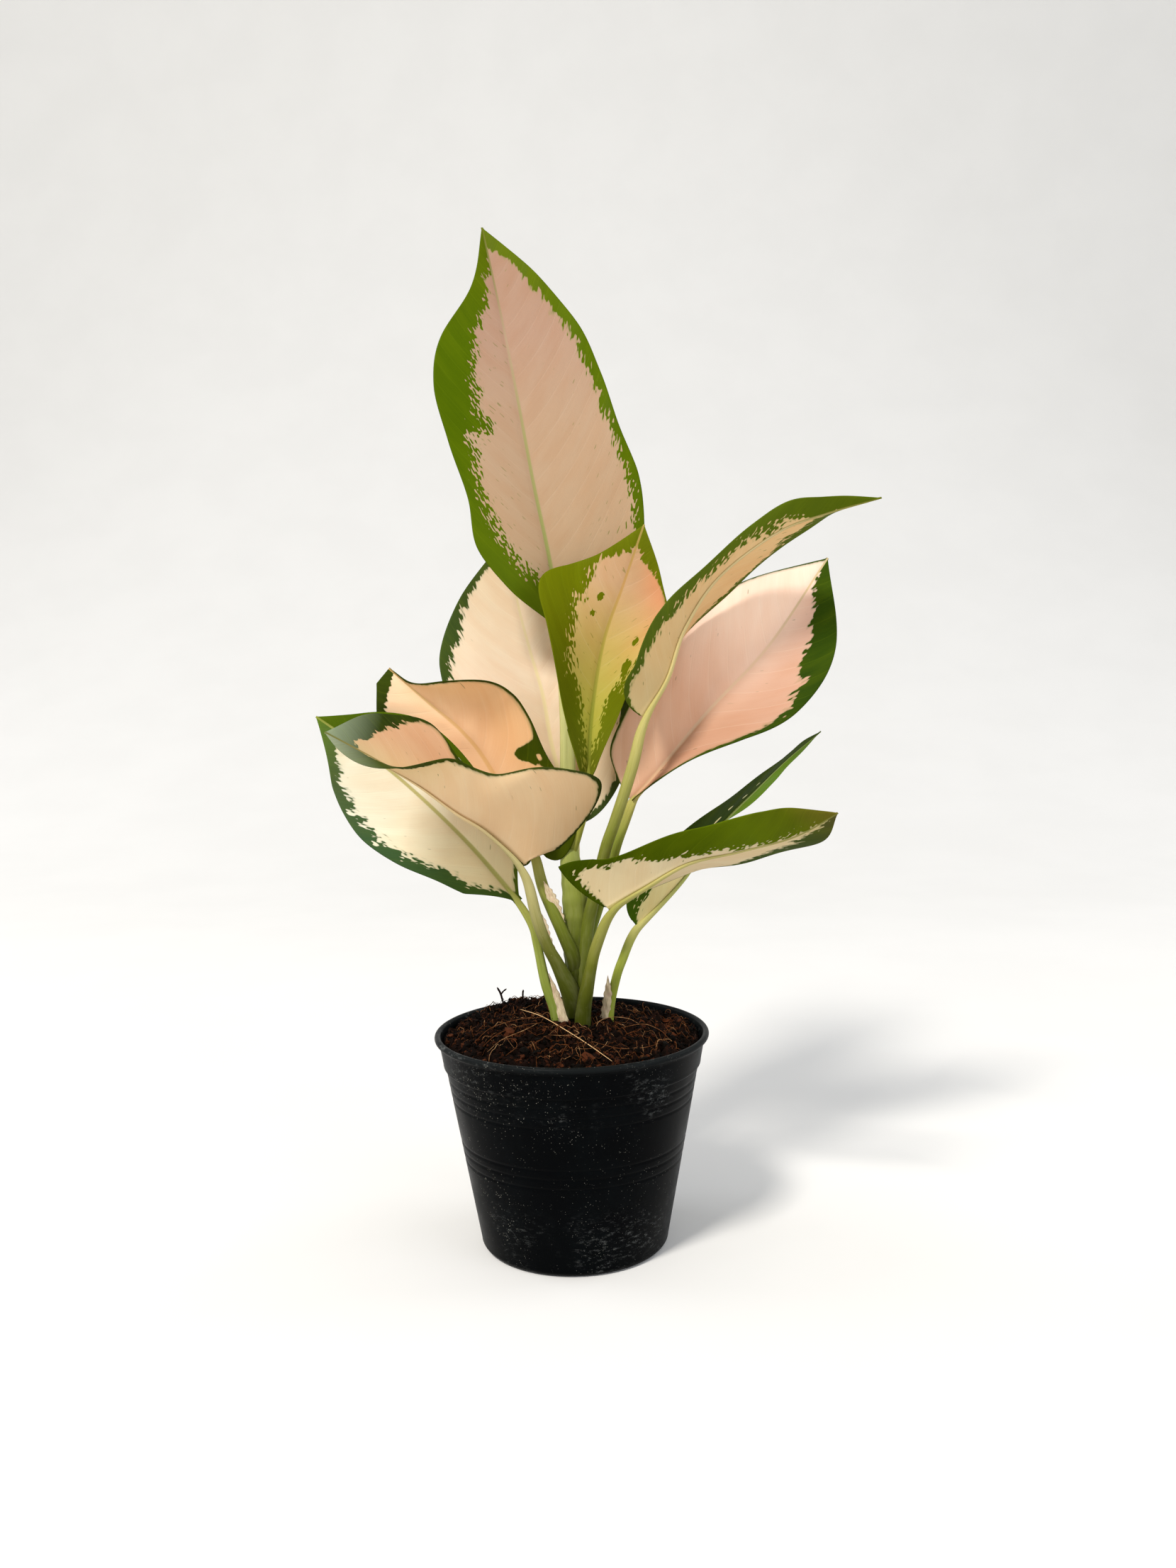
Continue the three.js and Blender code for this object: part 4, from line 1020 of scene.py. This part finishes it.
def pot():
    """The pot turned from its section, closed at both middles, with round drain holes cut through the floor."""
    profile = pot_profile()
    points = np.concatenate([lathe(profile, POT_SIDES), [[0, 0, 0], [0, 0, BASE_THICK]]])
    piece = finish_piece("nursery_pot", points, ring_faces(len(profile), POT_SIDES), PLASTIC, "pot", "pot")
    cutter = drain_cutter()
    cut = piece.modifiers.new("drains", "BOOLEAN")
    cut.operation, cut.solver, cut.object = "DIFFERENCE", "EXACT", cutter
    bpy.context.view_layer.update()
    done = bpy.data.meshes.new_from_object(piece.evaluated_get(bpy.context.evaluated_depsgraph_get()))
    piece.modifiers.clear()
    piece.data = done
    bpy.data.objects.remove(cutter)


pot()

# ---------------------------------------------------------------- the soil

SOIL_RADIUS, SOIL_RIM, SOIL_DOME = 50.2, 81.0, 5.6  # radius, height at the pot's wall and rise of the middle
SOIL_UNDERSIDE = 72.0
MOUND, MOUND_AT, MOUND_SPREAD = 4.2, (-19, 29), 380  # height, middle and square of its reach
INSIDE_WALL = 49.3  # how far out the fibres may lie
RELIEF = 0.8  # share of the crumbs' full height
rng = np.random.default_rng(7)


def soil_height(x, y):
    """The lie of the soil in mm: a low dome, a mound behind on the left and slow lumps."""
    dome = SOIL_DOME * (1 - (x**2 + y**2) / 49.8**2)
    mound = MOUND * np.exp(-((x - MOUND_AT[0]) ** 2 + (y - MOUND_AT[1]) ** 2) / MOUND_SPREAD)
    lumps = 0.9 * (np.sin(0.55 * x + 1.3) * np.sin(0.48 * y + 0.4) + 0.7 * np.sin(0.9 * x - 0.7 * y))
    return SOIL_RIM + dome + mound + lumps


WAVES = [(rng.uniform(0.5, 3.2), rng.uniform(0, FULL_TURN), rng.uniform(0, FULL_TURN)) for _ in range(26)]


def crumbs(x, y):
    """Crumbly relief: many plane waves 2 to 12 mm long in directions chosen once, each lower the shorter it is."""
    total = np.zeros_like(x)
    for rate, way, start in WAVES:
        total += np.sin(rate * (x * math.cos(way) + y * math.sin(way)) + start) * 0.26 / rate**0.5
    return total


def soil_top(x, y):
    """The soil's own surface: its lie and the crumbs."""
    return soil_height(x, y) + crumbs(x, y) * RELIEF


def soil():
    """The soil as a closed disc: rings from the middle to the pot wall, where they dip a little, over a flat
    underside."""
    rings, sides = 150, 320
    r = np.linspace(0.004, 1, rings)[:, None] * SOIL_RADIUS
    a = (np.arange(sides) / sides * FULL_TURN)[None, :]
    x, y = r * np.cos(a), r * np.sin(a)
    z = soil_top(x, y)
    z = np.where(r > 49, z - (r - 49) * 0.8, z)
    top = np.stack([x, y, z], axis=-1).reshape(-1, 3)
    skirt = lathe(np.array([[SOIL_RADIUS - 1.2, 76.0], [SOIL_RADIUS - 2.6, SOIL_UNDERSIDE]]), sides)
    points = np.concatenate([top, skirt, [[0, 0, soil_height(0.0, 0.0)], [0, 0, SOIL_UNDERSIDE]]])
    faces = [group[:, ::-1] for group in ring_faces(rings + 2, sides)]
    tone = np.append(np.clip(0.5 + 0.12 * crumbs(points[:-2, 0], points[:-2, 1]), 0, 1), [0.5, 0.5])
    finish_piece("soil_bed", points, faces, SOIL, "soil", "soil", tone=tone)


soil()


def rotations(angles, axis):
    """A rotation matrix about one axis for each angle."""
    a, b = (axis + 1) % 3, (axis + 2) % 3
    turn = np.zeros((len(angles), 3, 3))
    turn[:, axis, axis] = 1
    turn[:, a, a] = turn[:, b, b] = np.cos(angles)
    turn[:, b, a] = np.sin(angles)
    turn[:, a, b] = -turn[:, b, a]
    return turn


def chips(name, count, small, large, flat, sink):
    """Many husk chips in one mesh: each is a squared-off, uneven pebble of 2 x 6 points and two poles, stretched,
    turned about all three axes and half sunk in the soil. The seeded generator gives places, sizes and turns."""
    ring = np.arange(6) / 6 * FULL_TURN
    base = np.concatenate(
        [
            np.stack([np.cos(ring), np.sin(ring), np.full(6, -0.55)], axis=1),
            np.stack([np.cos(ring + 0.4), np.sin(ring + 0.4), np.full(6, 0.55)], axis=1),
            [[0, 0, -0.9], [0, 0, 0.9]],
        ]
    )
    k = np.arange(6)
    n = (k + 1) % 6
    tris = np.concatenate(
        [
            np.stack([k, n, n + 6], axis=1),
            np.stack([k, n + 6, k + 6], axis=1),
            np.stack([n, k, np.full(6, 12)], axis=1),
            np.stack([k + 6, n + 6, np.full(6, 13)], axis=1),
        ]
    )
    reach = 49.4 * np.sqrt(rng.uniform(0, 1, count))
    way = rng.uniform(0, FULL_TURN, count)
    x, y = reach * np.cos(way), reach * np.sin(way)
    size = small + (large - small) * rng.uniform(0, 1, count) ** 3
    shape = base[None] * (1 + rng.uniform(-0.28, 0.28, (count, 14, 1)))
    sizes = np.stack([size, size * rng.uniform(0.45, 0.9, count), size * rng.uniform(*flat, count)], axis=1)
    shape = shape * sizes[:, None]
    spin, tip, roll = rng.uniform(0, FULL_TURN, count), rng.normal(0, 0.4, count), rng.normal(0, 0.4, count)
    turn = rotations(spin, 2) @ rotations(tip, 0) @ rotations(roll, 1)
    centre = np.stack([x, y, soil_top(x, y) + size * sink], axis=1)
    points = (np.einsum("nij,nkj->nki", turn, shape) + centre[:, None]).reshape(-1, 3)
    faces = (tris[None] + 14 * np.arange(count)[:, None, None]).reshape(-1, 3)
    tone = np.repeat(rng.uniform(0, 1, count) ** 1.6, 14)
    finish_piece(name, points, [faces], CHIP, "soil", "soil", smooth=False, tone=tone)


chips("husk_crumbs", 7200, 0.3, 1.15, (0.4, 0.9), 0.15)
chips("husk_chunks", 240, 0.8, 2.8, (0.35, 0.75), 0.1)


def fibres(name, paths, radii, tones):
    """Many thin fibres in one mesh: each is a five-sided tube along its path, thinner towards both ends."""
    points, quads, fans, tone, start = [], [], [], [], 0
    for path, radius, shade in zip(paths, radii, tones):
        taper = radius * (1 - 0.6 * np.linspace(-1, 1, len(path)) ** 6)
        p, (sides, ends) = tube(path, taper, 5, (0.31, 0.52, 0.79))
        points.append(p)
        quads.append(sides + start)
        fans.append(ends + start)
        tone.append(np.full(len(p), shade))
        start += len(p)
    faces = [np.concatenate(quads), np.concatenate(fans)]
    finish_piece(name, np.concatenate(points), faces, FIBRE, "soil", "soil", tone=np.concatenate(tone))


def loose_fibres(count):
    """Short curly fibres lying on the soil: each starts at a seeded place, turns at a slowly changing rate, rises in a
    low arch, and is drawn in at the pot's wall."""
    steps = 16
    paths = []
    for _ in range(count):
        length = rng.uniform(4, 20)
        bearing = rng.uniform(0, FULL_TURN) + np.cumsum(rng.normal(0, 0.16, steps))
        bearing = bearing + np.linspace(0, rng.normal(0, 1.4), steps)
        reach, way = 48 * math.sqrt(rng.uniform(0, 1)), rng.uniform(0, FULL_TURN)
        xy = np.cumsum(np.stack([np.cos(bearing), np.sin(bearing)], axis=1) * length / steps, axis=0)
        xy += [reach * math.cos(way), reach * math.sin(way)]
        far = np.linalg.norm(xy, axis=1, keepdims=True)
        xy = xy * np.minimum(1, INSIDE_WALL / np.maximum(far, 1e-6))
        hop = rng.uniform(0.2, 1.6) * np.sin(np.linspace(0, math.pi, steps)) + 0.3
        paths.append(np.c_[xy, soil_top(xy[:, 0], xy[:, 1]) + hop])
    return paths


# (path, radius, shade): the long pale fibre across the front, the loops at its left, two twigs behind, and strands
LAID = [
    ([[-21, 10, 89.6], [-12, -3, 90], [-3, -17, 88.6], [6, -31, 86.6], [15, -46, 84.2]], 0.15, 1.0),
    ([[-37, -23, 85], [-31, -14, 88.4], [-21, -8, 90], [-10, -5, 90]], 0.1, 0.58),
    ([[-34, -27, 84], [-28, -19, 87.4], [-19, -13, 89], [-11, -9, 89]], 0.11, 0.55),
    ([[-31, -30, 83.8], [-26, -24, 86.6], [-18, -17, 88.2], [-13, -10, 89]], 0.11, 0.7),
    ([[-24, -35, 83.6], [-20, -31, 86], [-22, -26, 87.4], [-27, -25, 86.6]], 0.11, 0.55),
    ([[-29, 28, 88], [-30, 29, 91.5], [-31.5, 30, 94]], 0.45, 0),
    ([[-30, 29, 90.8], [-29, 29, 92.4], [-27.5, 29, 93.6]], 0.34, 0),
    ([[-20.5, 25, 90], [-20.5, 25, 92.5], [-20.3, 25, 94]], 0.4, 0),
    ([[2, -34, 85.6], [7, -37, 86.4], [10, -33, 87.2], [6, -30, 87], [1, -31, 86.6]], 0.1, 0.62),
    ([[10, -30, 86.4], [18, -34, 85.4], [27, -32, 85], [33, -27, 85]], 0.12, 0.55),
    ([[20, -12, 87.4], [28, -10, 88], [34, -14, 86.6], [37, -20, 85]], 0.12, 0.62),
    ([[9, -10, 88.6], [15, -6, 89.8], [22, -5, 89], [26, -9, 88]], 0.11, 0.7),
    ([[-8, -22, 87.6], [-2, -26, 88.4], [3, -23, 88.2], [1, -18, 88.4]], 0.09, 0.7),
]
loose = loose_fibres(520)
fibres("coir_fibres", loose, rng.uniform(0.06, 0.14, len(loose)), rng.uniform(0, 0.7, len(loose)))
laid_paths, laid_radii, laid_shades = zip(*LAID)
fibres("laid_fibres", [through(path, np.linspace(0, 1, 28)) for path in laid_paths], laid_radii, laid_shades)

# ---------------------------------------------------------------- floor, light and camera


def floor_finish():
    """Matt off-white paper sweep, barely mottled over 125 mm so that it reads as a surface."""
    m = Finish("matt off-white floor")
    mottle = m.add("noise", m.add("place", out="Object"), 8.0, 3.0, MIDDLING)
    colour = m.add("mix", m.add("step", mottle, 0.3, 0.7), rgba("#d2d1ce"), rgba("#d4d3d0"))
    m.add("OutputMaterial", m.add("BsdfPrincipled", Base_Color=colour, Roughness=0.9))
    return m.material


def sweep():
    """The floor and backdrop in one sheet: flat in front, then a quarter circle up to a wall behind."""
    half, front, bend, radius, top = 6.0, -4.0, 0.8, 1.6, 5.0
    angle = np.linspace(0, math.pi / 2, 17)
    arc = np.stack([bend + radius * np.sin(angle), radius - radius * np.cos(angle)], axis=1)
    line = np.concatenate([[[front, 0]], arc, [[bend + radius, top]]])
    # a little below zero, so that the pot's underside stays clear of it
    points = np.array([[x, y, z - 0.0002] for y, z in line for x in (-half, 0.0, half)])
    mesh = bpy.data.meshes.new("floor_sweep")
    mesh.from_pydata(points.tolist(), [], grid_faces(len(line), 3).tolist())
    mesh.polygons.foreach_set("use_smooth", np.full(len(mesh.polygons), True))
    mesh.materials.append(floor_finish())
    sheet = bpy.data.objects.new("floor_sweep", mesh)
    bpy.context.scene.collection.objects.link(sheet)


sweep()


def stand(holder, right, up, back, place):
    """Puts a light or camera at place, looking away from back."""
    rows = [[right[i], up[i], back[i], place[i]] for i in range(3)]
    holder.matrix_world = Matrix(rows + [[0, 0, 0, 1]])
    bpy.context.scene.collection.objects.link(holder)


def lamp(name, place, towards, size, watts, tint):
    """A square soft light at place, in metres, facing towards."""
    light = bpy.data.lights.new(name, "AREA")
    light.shape, light.size, light.energy, light.color = "SQUARE", size, watts, linear(tint)
    holder = bpy.data.objects.new(name, light)
    gaze = unit(np.array(place, float) - np.array(towards, float))
    side = unit(np.cross([0, 0, 1.0], gaze))
    up = np.cross(gaze, side)
    stand(holder, side, up, gaze, place)


lamp("key_soft", (-1.2, -1.85, 2.65), (0, 0, 0.2), 0.6, 118, "#fffaf3")
lamp("fill_right", (2.4, -1.8, 1.2), (0, 0, 0.2), 2.0, 26, "#f4f7ff")
lamp("rim_left", (-1.6, 0.5, 1.1), (0, 0, 0.15), 1.0, 9, "#f7f9ff")
lamp("rim_right", (1.6, 0.5, 1.1), (0, 0, 0.15), 1.0, 9, "#f7f9ff")

world = bpy.data.worlds.new("soft_room")
world.use_nodes = True
world.node_tree.nodes["Background"].inputs[0].default_value = rgba("#eef1f5")
world.node_tree.nodes["Background"].inputs[1].default_value = 0.74
bpy.context.scene.world = world

CAMERA_AT = (8.0, -483.1, 213.8)  # mm
LOOKS_DOWN, LEANS = math.radians(3.9), math.radians(-0.95)
LENS, SENSOR = 28.48, 36.0


def camera():
    """The photograph's view: from in front, above the pot, tipped down and turned slightly about its own axis."""
    ahead = np.array([0, math.cos(LOOKS_DOWN), -math.sin(LOOKS_DOWN)])
    up = np.array([0, math.sin(LOOKS_DOWN), math.cos(LOOKS_DOWN)])
    right = np.array([1.0, 0, 0])
    c, s = math.cos(LEANS), math.sin(LEANS)
    right, up = c * right + s * up, -s * right + c * up
    lens = bpy.data.cameras.new("front_view")
    lens.lens, lens.sensor_width, lens.sensor_fit = LENS, SENSOR, "AUTO"
    lens.clip_start, lens.clip_end = 0.01, 50
    holder = bpy.data.objects.new("front_view", lens)
    stand(holder, right, up, -ahead, np.array(CAMERA_AT) * MM)
    bpy.context.scene.camera = holder


camera()
bpy.context.scene.view_settings.view_transform = "Standard"
